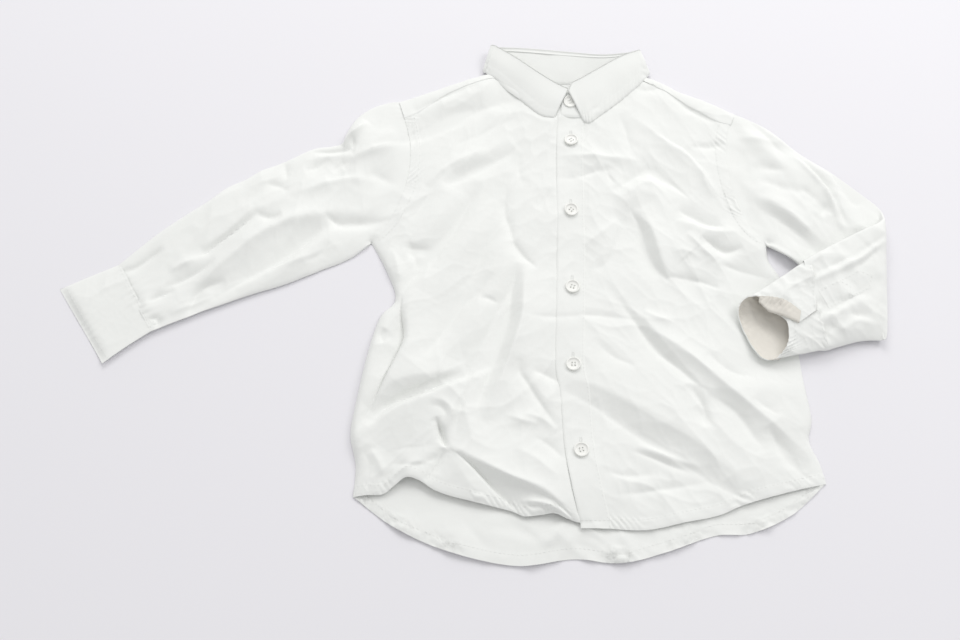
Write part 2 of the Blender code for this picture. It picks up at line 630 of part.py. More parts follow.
def left_sleeve_ring(row, place, u, inset, wall):
    """Two sides of one ring: the side that faces up on the upper arm, and the one that faces up once folded."""
    near_x, near_y, far_x, far_y, middle, half, turn = row
    near, far = np.array((near_x, near_y)), np.array((far_x, far_y))
    width = np.linalg.norm(far - near)
    shrunk = inset / width + u * (1 - 2 * inset / width)
    plan = near * (1 - shrunk)[:, None] + far * shrunk[:, None]
    curve = evenly(ARMHOLE_LEFT, 200)[(u * 199).astype(int)]
    straight = curve[0] * (1 - u)[:, None] + curve[-1] * u[:, None]
    plan = plan + (curve - straight) * max(0.0, 1 - 3.6 * place) ** 2
    round_off = (1 - np.abs(2 * u - 1) ** 5) ** 0.4
    reach = (half - wall) * round_off
    up, out = math.cos(math.radians(turn)), math.sin(math.radians(turn))
    folds = LEFT_SLEEVE_FOLDS if turn < 90 else FOREARM_FOLDS
    crumple = np.maximum(fold_height(plan[:, 0], plan[:, 1], folds), -1.0)
    crumple = crumple * round_off * smoothstep(abs(up)) * smoothstep((half - 2.0) / 0.6)
    first = np.column_stack((plan[:, 0] - reach * out, plan[:, 1], middle + reach * up))
    second = np.column_stack((plan[:, 0] + reach * out, plan[:, 1], np.maximum(middle - reach * up, wall)))
    risen = first if turn < 90 else second
    risen[:, 2] += crumple
    return first, second


def build_left_cuff(cloth):
    """The unbuttoned cuff of the folded sleeve: a band with an under-lap and an overlap."""
    rows = (
        # mouth x, y, z, cuff seam x, y, z: from the under-lap, round below, to the overlap
        (157, 2, 14.0, 193, 6, 15.4),
        (166, -8, 17.0, 195, -8, 17.2),
        (166, -26, 15.6, 197, -22, 15.8),
        (156, -37, 11.4, 198, -29, 12.6),
        (144, -32, 8.4, 197, -22, 8.6),
        (133, -6, 7.6, 195, 0, 8.2),
        (132, 8, 8.8, 193, 30, 8.6),
        (139, 14, 13.4, 192, 48, 12.6),
        (155, 12, 18.6, 192, 40, 16.8),
        (170, 7, 20.0, 192, 26, 17.8),
        (180, -1, 19.4, 193, 12, 18.0),
    )
    band = through(rows, np.linspace(0, 1, 31)).reshape(-1, 2, 3)
    t = np.linspace(0, 1, 5)[None, :, None]
    grid = band[:, :1] * (1 - t) + band[:, 1:] * t
    add_sheet("cuff_left", grid[:, ::-1], cloth, wall=1.0)


def build_sleeve_placket(cloth, sleeve_top):
    """The pointed placket above the folded sleeve's cuff, lying on the sleeve's own points."""
    start = np.array((200.0, 11.0))
    along = np.array((0.89, 0.456))
    out = np.array((-along[1], along[0]))
    steps = 6
    grid = np.zeros((4, steps, 3))
    for r, side in enumerate(np.linspace(-0.5, 0.5, 4)):
        reach = SLEEVE_PLACKET_LENGTH - 16.0 * abs(side)
        for c in range(steps):
            place = start + along * reach * c / (steps - 1) + out * side * SLEEVE_PLACKET_WIDTH
            near = np.hypot(sleeve_top[:, 0] - place[0], sleeve_top[:, 1] - place[1]) < 5.0
            grid[r, c] = (*place, sleeve_top[near, 2].max() + LAYER_GAP)
    add_sheet("sleeve_placket_left", grid[::-1], cloth, wall=1.0)


def main():
    clear_scene()
    shirt = bpy.data.collections.new("crumpled_shirt")
    bpy.context.scene.collection.children.link(shirt)
    cloth = material("white_cotton", CLOTH_WHITE, 0.85)
    plastic = material("white_plastic", BUTTON_WHITE, 0.35)
    build_back(cloth)
    build_yoke(cloth)
    build_front_right(cloth)
    build_front_left(cloth)
    build_placket(cloth)
    build_collar(cloth)
    build_label(cloth)
    build_right_sleeve(cloth)
    sleeve_top = build_left_sleeve(cloth)
    build_left_cuff(cloth)
    build_sleeve_placket(cloth, sleeve_top)
    build_buttons(plastic)


main()
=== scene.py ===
"""The looks of a toddler's long-sleeved white shirt, laid front up on a pale table and crumpled.

Plan places are in millimetres: x runs to the right of the button line, y runs up towards the collar, and
z is the height above the table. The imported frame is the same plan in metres, moved by PLAN_MIDDLE.
"""

import math
from collections import namedtuple

import bpy
import numpy as np
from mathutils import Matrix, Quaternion, Vector
from mathutils.bvhtree import BVHTree


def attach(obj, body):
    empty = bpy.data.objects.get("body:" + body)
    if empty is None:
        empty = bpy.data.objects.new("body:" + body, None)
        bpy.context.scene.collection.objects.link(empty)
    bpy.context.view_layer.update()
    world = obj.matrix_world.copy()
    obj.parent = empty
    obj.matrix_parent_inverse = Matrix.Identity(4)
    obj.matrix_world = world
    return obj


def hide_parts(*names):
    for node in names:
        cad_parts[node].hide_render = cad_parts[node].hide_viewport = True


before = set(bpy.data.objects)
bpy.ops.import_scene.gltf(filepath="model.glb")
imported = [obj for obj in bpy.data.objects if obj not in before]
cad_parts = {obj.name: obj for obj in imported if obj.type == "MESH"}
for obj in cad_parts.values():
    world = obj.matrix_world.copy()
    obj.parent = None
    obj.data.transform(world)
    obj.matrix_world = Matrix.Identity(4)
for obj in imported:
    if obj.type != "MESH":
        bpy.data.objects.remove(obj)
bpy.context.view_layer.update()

MM = 0.001
PLAN_MIDDLE = (-76.0, 30.0)      # the middle of the shirt's box, which is the frame's origin

CLOTH = 0.5                      # thickness of one layer of cloth
BAND = 0.9                       # thickness of a faced band: collar, cuff, placket
EDGE_TOP = 0.35                  # height of the upper cloth where it meets a side edge
AIR = 4.2                        # height of the upper cloth above EDGE_TOP where nothing is folded
EDGE_ROLL = 8.0                  # how far from a side edge the cloth reaches its full height
EDGE_RADIUS = 3.0                # how far the roll at a side edge reaches
CREASE_ROUND = 0.6               # how far a crisp crease is rounded
FOLD_EASE = 0.8                  # how much of the large folds the body keeps after it has settled
CREASE_GAIN = 2.4                # what the heights in the crease tables are multiplied by
SLEEVE_EASE = 0.7                # the same two for the sleeve that lies flat
SLEEVE_CREASE_GAIN = 3.0
CRUMPLE_X = 4.0                  # the x that the small crumples are drawn away from on both sides
CRUMPLE_COS = 0.64               # they run down at 50 degrees
CRUMPLE_SIN = 0.77
CRUMPLE_STRETCH = 1.9            # how many times longer than wide they are
SEAM_DROP = 0.18                 # how far a sleeve lies below the body's edge at the armhole

PLACKET_WIDTH = 23.0
PLACKET_TOP_Y = 192.0
PLACKET_HEM_Y = -168.0
PLACKET_OVERLAP = 17.0           # how far the under front reaches below the placket
UNDER_FRONT_HEM_Y = -161.0
PLACKET_STEP = 1.8               # how far the under front dips to pass below the placket
PLACKET_RISE = 0.65              # how far the placket stands above the fronts
SEAM_LAP = 0.8                   # how far the left front laps the placket, and outside it the right one dips
YOKE_LAP = 2.0                   # how far the yoke laps the fronts' top edges
YOKE_RISE = 0.16                 # how far it stands above them
COLLAR_RISE = 0.35               # how far the leaf's edge stands above the front
HEM_DEPTH = 8.0                  # depth of the turned hem
ARMHOLE_BAND = 8.5               # depth of the bands at the armholes, on the collar leaf and at the open cuff
LEAF_BAND = 6.5
CUFF_BAND = 5.0
CUFF_SAG = 6.0                   # how far the open cuff sags between its ends
TAIL_TOP_Y = -150.0              # where the back's tail begins to show below the fronts
LABEL_X = (-8, 12)
LABEL_Y = (222, 211)
LABEL_Z = 4.3
BUTTON_DIAMETER = 11.5
BUTTON_THICKNESS = 2.4
BUTTON_SINK = 0.35               # how far a button is drawn into the cloth
HOLE_RADIUS = 0.62
HOLE_PITCH = 2.4                 # distance between a button's thread holes
BUTTONHOLE_LENGTH = 12.0

# The camera, found from the photograph: it looks down from below the hem, upright.
LENS = 40.6
SENSOR = 36.0
SIGHT_FOOT = (-73.0, -338.0)     # the plan place right below the camera
SIGHT_HEIGHT = 797.0
SIGHT_TILT = 23.0                # degrees between the line of sight and straight down

STITCH_LENGTH = 2.5
STITCH_GAP = 0.8
THREAD = 0.36

COTTON_COLOUR = (0.86, 0.87, 0.85)
# The cuff's inner side colour is painted shade: the same white cotton, coloured darker and warmer for the
# shadow inside the open cuff's mouth.
CUFF_INSIDE_SHADE_COLOUR = (0.78, 0.75, 0.69)
THREAD_COLOUR = (0.84, 0.85, 0.83)
FLOOR_COLOUR = (0.825, 0.815, 0.85)
TABLE_HALF = 4000.0              # half of the table's width
TABLE_GAP = 0.1                  # room between the shirt's underside and the table

# The lights' places and sizes are in metres. The fill is the second light, from the right.
WORLD_STRENGTH = 0.695
LIGHT_COLOUR = (1.0, 0.995, 0.985)
KEY_PLACE = (-0.05, 1.75, 1.45)
KEY_SIZE = (1.4, 1.0)
KEY_POWER = 18.0
FILL_PLACE = (1.5, 0.85, 1.5)
FILL_SIZE = (1.0, 0.8)
FILL_POWER = 10.5

# The armholes, from the armpit up to the shoulder point.
ARMHOLE_RIGHT = ((-163, 70), (-149, 86), (-139, 108), (-133, 134), (-132, 156), (-135, 176), (-143, 205))
ARMHOLE_LEFT = ((163, 66), (151, 80), (142, 102), (137, 128), (136, 150), (139, 172), (147, 192))
ARMHOLE_SHARE = 0.34             # the share of a body piece's rows that end at an armhole
SEAM_PLACE_RIGHT = 0.885         # where along each armhole the front yoke seam crosses it
SEAM_PLACE_LEFT = 0.928
YOKE_FRONT_SHARE = 0.52          # the share of a front's top edge that the yoke joins
BACK_YOKE_SEAM_Y = 178.0
NECK_HOLLOW = 5.0                # how far the back neck edge dips between the neck points

# The shoulders, from the sleeve to the neck, and the fronts' top edges, from the armhole to the placket.
SHOULDER_RIGHT = ((-143, 206), (-118, 215), (-94, 225), (-70, 233), (-50, 238))
SHOULDER_LEFT = ((147, 193), (122, 207), (101, 216), (88, 224.5), (72, 232), (54, 237))
FRONT_TOP_RIGHT = ((-138, 189), (-128, 195), (-113, 207), (-97, 218), (-75, 227), (-56, 231), (-36, 220),
                   (-14, 204), (11, 192))
FRONT_TOP_LEFT = ((143, 183), (132, 186.5), (122, 193), (109, 202), (94, 214), (78, 225), (62, 229),
                  (44, 217), (28, 203), (17, 192))

# The side seams, from the armpit down to the hem.
SIDE_RIGHT = ((-163, 70), (-150, 45), (-141, 18), (-153, 2), (-162, -30), (-170, -75), (-172, -97),
              (-167, -120), (-168, -144))
SIDE_LEFT = ((163, 66), (163, 52), (172, 34), (177, 0), (179, -45), (182, -82), (178, -100),
             (184, -118), (187, -134))

# How far the body puffs up next to its side seams, evenly along them from the armpit to the hem.
FULLNESS_RIGHT = (1, 2, 3, 5, 6, 6, 5, 3.5, 1.5)
FULLNESS_LEFT = (4, 4, 1, 0.5, 1, 2, 2, 1, 0)

# The hems, from the wearer's right to their left. The tail of the back is the longest.
BACK_HEM = ((-168, -144), (-135, -168), (-92, -186), (-45, -195), (-5, -190), (30, -193), (64, -185),
            (100, -173), (128, -171), (160, -157), (187, -134))
FRONT_HEM_RIGHT = ((-168, -144), (-157, -143), (-145, -142), (-137, -136), (-128, -130), (-117, -133),
                   (-108, -139), (-94, -144), (-70, -150), (-50, -155), (-40, -159), (-28, -158), (-18, -157),
                   (-8, -161), (4, -164), (18, -162))
FRONT_HEM_LEFT = ((23.2, -168), (50, -169), (80, -163), (104, -158), (124, -150), (156, -141), (187, -134))

# The placket's free edge, from the collar down to the hem.
PLACKET_EDGE = ((-6, 193), (-8, 150), (-9, 106), (-10, 60), (-12, 10), (-14, -40), (-11, -62),
                (-9, -105), (-5, -135), (1, -164))

# The plan places of the placket's buttons from the top down, and of the stand's.
BUTTON_PLACES = ((5, 165), (2.5, 97), (1.5, 27), (0, -40), (3.5, -109))
STAND_BUTTON_PLACE = (5, 203)

# The rows of topstitching: the piece, its edge, how far inside that edge they run, and between which shares
# of the edge's length.
STITCH_RUNS = (
    ("back", "bottom", HEM_DEPTH, 0.01, 0.99),
    ("right", "bottom", HEM_DEPTH, 0.01, 0.84),
    ("left", "bottom", HEM_DEPTH, 0.01, 0.99),
    ("right", "left", ARMHOLE_BAND, 0, ARMHOLE_SHARE),
    ("left", "right", ARMHOLE_BAND, 0, ARMHOLE_SHARE),
    ("placket", "right", 1.6, 0, 1),
    ("placket", "bottom", 6.0, 0, 1),
    ("leaf", "right", LEAF_BAND, 0.02, 0.98),
    ("leaf", "bottom", LEAF_BAND, 0.62, 0.97),
    ("leaf", "top", LEAF_BAND, 0.62, 0.97),
    ("yoke", "top", 1.6, 0.01, 0.39),
    ("yoke", "top", 1.6, 0.61, 0.99),
    ("sleeve", "bottom", 1.8, 0.12, 0.9),
    ("cuff", "top", 1.8, 0.12, 0.9),
    ("cuff", "bottom", 5.5, 0.12, 0.9),
    ("open cuff", "left", CUFF_BAND, 0.02, 0.98),
    ("open cuff", "right", 1.8, 0.02, 0.98),
    ("sleeve placket", "top", 1.4, 0.05, 0.95),
    ("sleeve placket", "bottom", 1.4, 0.05, 0.95),
    ("sleeve placket", "right", 1.6, 0.1, 0.9),
    ("sleeve placket", "right", 22.0, 0.1, 0.9),
)

Fold = namedtuple("Fold", "height left right path")


def fold_table(text):
    """Folds from lines of text: height, width to the left, width to the right, points of the path."""
    made = []
    for line in text.strip().splitlines():
        height, left, right, *path = line.split()
        made.append(Fold(float(height), float(left), float(right),
                         np.array([point.split(",") for point in path], float)))
    return made


# A fold is a soft ridge, or a trough where its height is negative. Its widths are those of its slopes
# to the left and to the right of the way along its path.
FRONT_FOLDS = fold_table("""
    -3.0 14 9  -136,165 -100,184 -60,202 -36,206
    4.0 14 20  -128,196 -90,215 -58,222
    3.6 16 9  -44,166 -64,155 -96,137
    -2.5 7 16  -44,158 -60,148 -92,130 -106,120
    4.4 13 14  -92,118 -106,92 -120,70 -138,54
    -2.4 6 13  -76,116 -93,83 -110,58 -135,19
    3.6 15 12  -60,108 -78,74 -95,48 -114,20
    -2.6 6 12  -56,88 -70,58 -84,26 -97,-4 -114,-32
    4.6 10 13  -48,86 -54,44 -68,12 -92,-36
    -3.6 7 12  -42,54 -49,16 -57,-14 -68,-50 -80,-84
    5.4 12 7  -34,56 -37,20 -43,-14 -55,-48 -68,-84
    3.0 12 9  -20,42 -26,0 -34,-36 -48,-92
    4.0 8 12  -8,-88 -24,-72 -38,-44
    5.5 48 14  -20,-42 30,-62 80,-92 122,-126 150,-152
    -2.6 7 14  -20,-56 20,-76 66,-108 110,-136 140,-150
    3.0 6 8  40,-106 70,-115 96,-127
    5.0 24 10  48,12 66,-10 104,-44 144,-82 178,-116
    -1.6 8 20  42,6 58,-18 92,-56 126,-90 158,-122
    4.8 18 6  58,98 69,78 74,60 80,42 94,34
    -2.4 6 14  52,94 59,78 62,62 69,46 80,32
    3.6 8 16  38,102 52,107 66,115 77,104 88,88
    2.8 8 16  88,86 116,76 150,79
    4.2 8 14  108,62 130,49 168,37
    1.4 9 12  52,196 90,162 128,118
    2.2 12 20  62,214 96,204 132,178
    1.0 10 10  -6,150 30,148 64,144
    -0.8 8 8  -6,130 20,134 36,138
    1.4 9 14  -34,2 0,4 36,8
""")
LOW_FOLDS = fold_table("""
    4.6 16 6  -116,46 -127,10 -125,-20 -138,-48 -158,-84
    6.0 20 8  -158,-76 -141,-59 -124,-51 -106,-47 -84,-41
    4.2 4 50  -180,-106 -150,-86 -118,-71 -90,-58 -54,-38
    2.4 14 14  -104,-52 -120,-84 -140,-112
    6.0 18 10  -129,-108 -127,-126 -125,-166
    7.0 13 30  12,-172 -20,-139 -58,-121 -106,-100
    3.0 7 12  -97,-112 -84,-130 -64,-158
""")
RIGHT_SLEEVE_FOLDS = fold_table("""
    6.5 10 14  -312,12 -296,37 -274,58 -259,72 -239,86 -223,92 -202,95 -165,94
    -4.0 14 6  -306,2 -287,22 -268,36 -241,49 -221,67 -208,79 -194,87 -160,87
    4.0 12 18  -318,46 -288,72 -256,100 -216,120 -170,132
    3.5 8 16  -290,4 -262,22 -234,38 -212,60 -190,74 -168,76
    3.5 14 14  -184,158 -160,164 -134,168
    3.0 12 12  -330,68 -290,108 -250,134 -206,156
""")
LEFT_SLEEVE_FOLDS = fold_table("""
    4.0 24 9  150,112 172,100 190,84 208,62
    -1.4 7 9  152,104 168,92 186,74 202,54
    3.5 12 18  184,156 206,128 224,92
    3.0 10 10  150,176 172,150 196,118
    -2.2 12 7  202,152 222,132 236,112 246,92
""")
FOREARM_FOLDS = fold_table("""
    1.2 7 10  176,27 216,41 264,68
    1.2 8 12  186,-8 216,2 250,20
    1.6 8 12  190,-18 220,-12 246,-12
""")
BODY_FOLDS = FRONT_FOLDS + RIGHT_SLEEVE_FOLDS

# A lean carries a ridge sideways, to the right of its path, by its height, until it overhangs.
FRONT_LEANS = fold_table("""
    7.0 22 5  -112,-96 -58,-119 -20,-138 6,-164
    5.0 18 4  -124,40 -131,10 -128,-20 -142,-52 -158,-84
    4.0 14 4  -80,-46 -118,-62 -156,-82
""")

BODY_HEIGHT = 5.5                # height of most of the cloth whose creases are placed as seen
FOREARM_HEIGHT = 16.0
TAIL_HEIGHT = 2.0
FOREARM_TILT = 5.5               # how much higher the folded forearm lies at its upper edge

# Crisp creases, at the table places that the camera sees them over: ridges and valleys, with their widths
# as above. The fronts have two tables: the wearer's right front, then the left one and both shoulders.
FRONT_CREASES = fold_table("""
    -1.6 12 6  -165,163 -136,169 -100,188 -60,206 -38,211
    -0.9 9 8  -100,165 -80,172 -60,183 -40,193
    -1.9 5 8  -42,161 -55,151 -68,143 -80,137 -92,130 -104,124
    -1.0 5 7  -103,138 -112,123 -118,112 -124,102 -133,92
    1.2 9 5  -66,160 -84,152 -104,140 -118,124
    -1.9 4 10  -72,126 -84,104 -93,86 -110,61 -120,49 -129,35 -137,20
    -1.2 4 5  -50,127 -52,110 -52,97 -48,84 -45,70 -38,50
    -1.3 3 4  -46,72 -37,58 -26,46
    -0.8 3 4  -38,56 -48,29 -55,17 -66,-8 -82,-44
    -1.6 8 4  -42,52 -47,26 -50,4 -56,-14 -60,-32 -68,-52 -78,-86
    1.4 6 7  -38,56 -38,26 -39,6 -44,-12 -49,-28 -60,-58 -70,-84
    -1.7 5 9  -62,42 -75,25 -87,14 -95,1 -104,-14 -118,-38
    -1.0 8 8  -55,96 -62,79 -70,63 -76,47 -88,28
    -0.8 3 4  -74,21 -66,19 -57,15
    -1.0 4 3  -134,60 -123,62 -109,62
    -1.0 3 4  -79,-42 -84,-55 -86,-68 -90,-84 -91,-96
    -1.8 6 5  -40,-30 -42,-42 -35,-55 -20,-80 -12,-90
    -1.4 6 4  -32,-42 -20,-47 -10,-53
    1.2 6 4  -52,-79 -40,-84 -27,-87
    1.0 5 4  -40,-78 -25,-83 -14,-92
    -1.0 4 5  -30,-96 -18,-104 -8,-114
    0.9 4 5  -44,-104 -28,-112 -12,-126
    -0.8 6 6  -38,157 -40,140 -36,124
    -0.8 6 7  -12,122 -18,112 -26,102
    -1.2 4 5  -137,66 -122,64 -106,58
    1.1 4 6  -146,66 -141,50 -139,34
    -1.0 4 4  -132,72 -127,58 -124,46
    -2.4 2.5 6  -137,24 -133,-5 -132,-18 -143,-45 -158,-76 -168,-96
    -2.4 8 2  -160,-88 -143,-75 -130,-69 -114,-63 -100,-56 -84,-48
    0.8 3 12  -165,-96 -142,-80 -116,-69 -92,-57 -64,-40
    -1.6 4 4  -148,-8 -151,-14 -149,-20
    0.8 3 3  -111,-69 -100,-70 -94,-77 -97,-86 -104,-89
    -0.6 2.5 3  -112,-74 -103,-74 -99,-80 -105,-87
    -3.2 2 3  -107,-82 -103,-90 -100,-97 -98,-104
    -1.2 3 4  -140,-118 -122,-119 -108,-113 -101,-104
    -1.6 3 3  -100,-106 -106,-118 -117,-134
    1.2 3 3  -146,-137 -134,-124 -120,-117 -108,-117
    1.2 4 6  -156,-107 -150,-116 -146,-127
    -1.0 5 5  -163,-106 -158,-116 -156,-128
    -2.4 7 1.2  -90,-109 -75,-123 -60,-139 -44,-155
    1.2 6 4  -97,-100 -70,-111 -45,-123 -20,-135 -2,-156
    1.8 3 2.5  -44,-146 -22,-150 -4,-161
""")
FRONT_CREASES += fold_table("""
    0.8 3 6  58,194 70,183 79,174 91,164 102,156 111,143 131,108
    -0.7 4 2  78,178 92,167 103,159 113,146 121,133
    -1.0 6 8  48,196 53,180 55,168 58,157
    1.0 4 5  -8,153 20,153 44,151 66,149
    -0.8 5 4  -10,131 8,132 25,138 44,142
    -0.8 5 4  -40,4 -10,3 14,5 38,3 60,2
    -2.0 5 4  40,117 50,127 60,134 71,139 81,132 93,123 103,111
    -0.9 3 4  33,143 36,136 41,126
    1.1 5 8  40,110 56,119 68,127 78,120 88,106
    -1.8 5 4  92,101 105,94 115,88 131,84
    1.0 5 8  86,92 104,86 122,79 142,80
    1.2 8 5  54,100 65,88 70,76 72,66 77,47 83,34
    -1.6 4 7  77,37 87,39 100,36 109,34 123,28
    -1.8 5 6  50,106 54,98 61,83 62,67 69,51 80,34
    1.0 3 4  58,9 68,3 82,-2
    -1.9 7 4  38,20 46,8 59,-13 69,-27 82,-39 96,-54 106,-62
    1.4 8 6  50,2 64,-9 87,-26 111,-50 134,-71 160,-94 180,-114
    -1.2 4 5  90,-54 99,-71 101,-80 107,-92
    -1.0 5 5  94,-72 98,-80 101,-90
    -1.4 7 5  106,-28 118,-40 130,-46 144,-47
    -1.1 6 6  138,-66 148,-74 158,-81
    -2.6 9 6  148,-88 158,-107 168,-121 178,-131
    -1.4 8 8  104,-62 124,-76 136,-94 144,-110
    0.7 16 6  -12,-45 20,-58 45,-72 65,-85 90,-100 115,-122 142,-144
    -1.0 10 3  -12,-57 15,-72 40,-90 60,-104 88,-122 110,-137 142,-148
    -1.5 3.5 3.5  42,-107 60,-113 75,-120 90,-125
    1.3 4 4  46,-103 62,-108 78,-115 94,-120
    -1.2 7 5  16,-122 36,-127 62,-125
    -0.9 4 3  28,-142 60,-138 102,-131
    -2.6 4 5  110,75 118,69 129,62 144,66
    -2.0 5 4  123,51 140,45 155,40 170,35
    1.4 8 4  98,79 108,66 120,53
    1.0 4 10  10,66 26,78 42,92
    -0.9 5 8  12,46 30,51 42,76 51,102
    -1.6 5 5  92,217 105,205 118,195 132,187
    -1.2 4 4  108,163 124,163 137,165
    -1.0 5 6  64,222 76,221 88,224
    -1.4 5 4  -132,197 -115,208 -100,216 -74,226
    -1.0 3 3  -134,176 -124,177 -112,181
    0.8 5 5  120,150 116,132 124,112
    -0.8 6 5  20,-20 34,-32 52,-40
    0.8 7 5  84,60 96,62 110,54
""")
RIGHT_SLEEVE_CREASES = fold_table("""
    -2.2 4 4  -144,91 -165,89 -188,88 -196,92 -204,97
    1.2 9 5  -192,95 -206,95 -223,92 -239,86 -259,72 -274,58 -293,40 -305,22
    -1.5 4 8  -198,87 -208,79 -221,67 -241,49 -256,42 -272,34
    -2.0 8 4  -280,36 -298,30 -305,16 -307,0
    -2.2 3 9  -258,101 -263,94 -275,83 -290,70 -300,60 -312,51
    1.6 4 10  -262,104 -272,90 -286,77 -302,64
    -1.4 4 4  -260,97 -248,93 -238,96
    2.4 5 5  -191,164 -187,171 -180,178 -170,188
    -1.6 2.5 5  -218,158 -200,158.5 -180,161
    1.2 5 6  -216,152 -200,153 -182,155
    -0.9 3 3  -182,160 -182,167 -184,173
    1.4 5 7  -190,147 -165,158 -134,168
    -1.2 5 5  -241,152 -239,142 -237,130
    -1.0 5 6  -222,138 -212,143 -202,152
    -1.0 6 5  -199,138 -190,146 -182,151
    -1.0 5 6  -254,126 -244,124 -234,118
    -0.9 6 6  -202,128 -190,134 -178,136
    -0.9 6 6  -168,138 -154,131 -142,124
    1.0 6 5  -232,114 -212,122 -186,130 -160,128
    -1.8 3 4  -369,47 -360,46 -350,52 -335,66
    -1.4 4 4  -330,29 -318,35 -306,42 -289,54
    -1.3 4 4  -342,16 -332,22 -321,28
    -1.6 3 3  -337,-4 -336,2 -331,0 -332,-10
    1.2 4 5  -326,44 -312,52 -296,60
    1.0 4 5  -322,6 -306,14 -288,22
    -0.9 5 5  -290,18 -268,34 -246,42
    0.9 6 5  -270,26 -244,44 -216,56 -188,70
    -0.8 5 6  -216,52 -204,60 -196,70
    1.0 5 6  -350,62 -326,88 -300,108 -274,124
""")
LEFT_SLEEVE_CREASES = fold_table("""
    -1.9 4 5  155,108 170,93 180,83 190,74 205,59
    1.4 6 5  162,112 180,97 196,82 210,70
    1.9 7 2.5  192,154 207,134 216,122 222,106 228,82
    -2.0 3 5  196,153 210,136 221,120 227,103 232,84
    1.6 4 4  204,150 215,140 224,131 230,119
    -1.4 4 4  229,135 233,128 236,120
    -1.2 4 5  159,191 170,177 180,161 191,150
    1.2 4 5  172,179 184,168 194,159
    1.2 5 5  146,172 156,170 170,167 184,165
    -1.2 5 4  158,141 170,140 187,136
    -1.1 5 5  163,129 178,122 197,114
    -1.2 4 4  216,107 214,100 211,94
    -1.0 5 5  196,120 206,112 212,102
    -1.6 4 5  140,160 146,150 150,142
    -1.2 4 4  143,120 148,110 155,104
    -1.0 6 6  236,126 240,116 243,104
""")
FOREARM_CREASES = fold_table("""
    1.1 2.5 4  268,76 250,64 240,56 222,46 200,36 178,26
    -1.0 3 2.5  266,80 242,63 220,51 194,39
    -0.7 3 2  262,70 240,52 220,42
    -1.2 5 5  229,77 236,73 242,70
    -1.0 5 5  221,69 230,63 238,57
    1.0 4 4  212,66 206,58 196,50
    -1.4 3 3  184,-1 200,7 222,18 241,28
    0.6 4 4  182,-6 200,1 222,12 244,22
    -1.0 4 4  183,-18 197,-12 204,-11 209,-19
    -1.0 4 4  194,-9 204,-6 214,-3
    -1.0 4 4  222,7 232,7 242,5
    -0.8 5 5  256,41 246,32 235,23
    0.9 5 5  216,-8 232,2 246,-4
    -0.9 4 4  204,20 198,14 194,8
""")
TAIL_CREASES = fold_table("""
    1.2 4 4  -112,-140 -120,-150 -130,-160
    -1.2 4 4  -107,-141 -115,-151 -125,-163
    -1.2 4 5  0,-171 14,-176 32,-181
    1.0 6 5  -70,-168 -40,-176 -8,-178
    -0.9 6 6  -92,-160 -64,-166 -36,-168
    1.8 5 4  104,-172 112,-173 121,-170
    -1.6 4 4  108,-166 113,-171 115,-178
    0.9 6 6  54,-176 72,-172 92,-170
    -1.6 5 8  -60,-158 -38,-170 -20,-186
    1.4 6 5  -30,-162 -14,-172 2,-188
    -1.3 5 5  -86,-162 -76,-172 -70,-184
    1.3 6 6  28,-170 36,-180 40,-190
    -1.2 6 6  74,-166 84,-172 90,-178
""")

STAND_ROWS = (
    # neck seam x, y, z, top edge x, y, z
    (15, 189, 4.6, 13, 212, 5.6),
    (-8, 189, 4.6, -5, 216, 6.4),
    (-28, 200, 4.6, -20, 228, 7.4),
    (-46, 214, 4.4, -38, 240, 8.2),
    (-58, 228, 4.2, -56, 253, 7.6),
    (-55, 230, 3.2, -54, 255, 6.7),
    (-36, 227, 2.6, -36, 255, 6.1),
    (2, 224, 2.4, 0, 252.5, 5.9),
    (40, 227, 2.6, 36, 250, 6.1),
    (61, 229, 3.2, 60, 250, 6.7),
    (64, 226, 4.2, 63, 249, 7.6),
    (52, 211, 4.6, 44, 236, 8.4),
    (34, 199, 5.2, 24, 225, 8.2),
    (16, 189, 5.2, 11, 215, 7.4),
    (-3, 189.5, 5.2, -2, 210, 7.2),
)
LEAF_ROWS = (
    # fold x, y, z, outer edge x, y, z, both at the places where the camera sees them over the table
    (4, 221, 10.2, -9, 190, 3.0),
    (-5, 226, 10.6, -20, 192.5, 3.0),
    (-15, 233, 11.0, -30, 201, 3.0),
    (-30, 245, 11.2, -43, 215, 3.0),
    (-45, 257, 10.8, -57, 229, 3.0),
    (-60, 267, 9.8, -68, 238, 2.6),
    (-61, 266, 7.6, -67, 240, 2.0),
    (-38, 265, 7.2, -40, 232, 0.9),
    (0, 261.5, 7.0, 0, 228, 0.9),
    (36, 258, 7.2, 41, 231, 0.9),
    (66, 261, 7.6, 73, 237, 2.0),
    (68, 262, 9.8, 75, 235, 2.6),
    (52, 255, 11.0, 63, 221, 3.0),
    (30, 241, 11.6, 46, 205, 3.0),
    (16, 232, 11.6, 31, 192.5, 3.0),
    (8, 227, 11.2, 22, 185.5, 3.0),
    (5, 220, 11.0, 17, 186.5, 3.0),
)
# How far the near edge of the stretched sleeve stands off the table, evenly along it.
SLEEVE_LIFT = (0.2, 0.3, 0.6, 1.0, 1.8, 2.8, 3.0)
RIGHT_SLEEVE_SECTIONS = (
    # near edge x, y, far edge x, y
    (-160.6, 70, -140.6, 206), (-170, 62, -160, 203), (-177, 56, -172, 197), (-184, 52, -181, 188),
    (-190, 49, -188, 174), (-196, 46.5, -191, 165), (-202, 44, -200, 161.5), (-208, 41, -212, 160),
    (-216, 37.5, -222, 156), (-228, 32, -234, 149), (-240, 27.5, -246, 143), (-252, 23.5, -258, 138),
    (-264, 19, -272, 128.5), (-280, 12.5, -286, 121), (-294, 7, -301, 108), (-306, 1.5, -318, 95),
    (-320, -4.5, -340, 77), (-334, -11, -370, 47),
)
RIGHT_CUFF_SECTIONS = ((-331.6, -9, -366.5, 49.6), (-352, -24, -391, 38), (-369, -38, -413, 27))
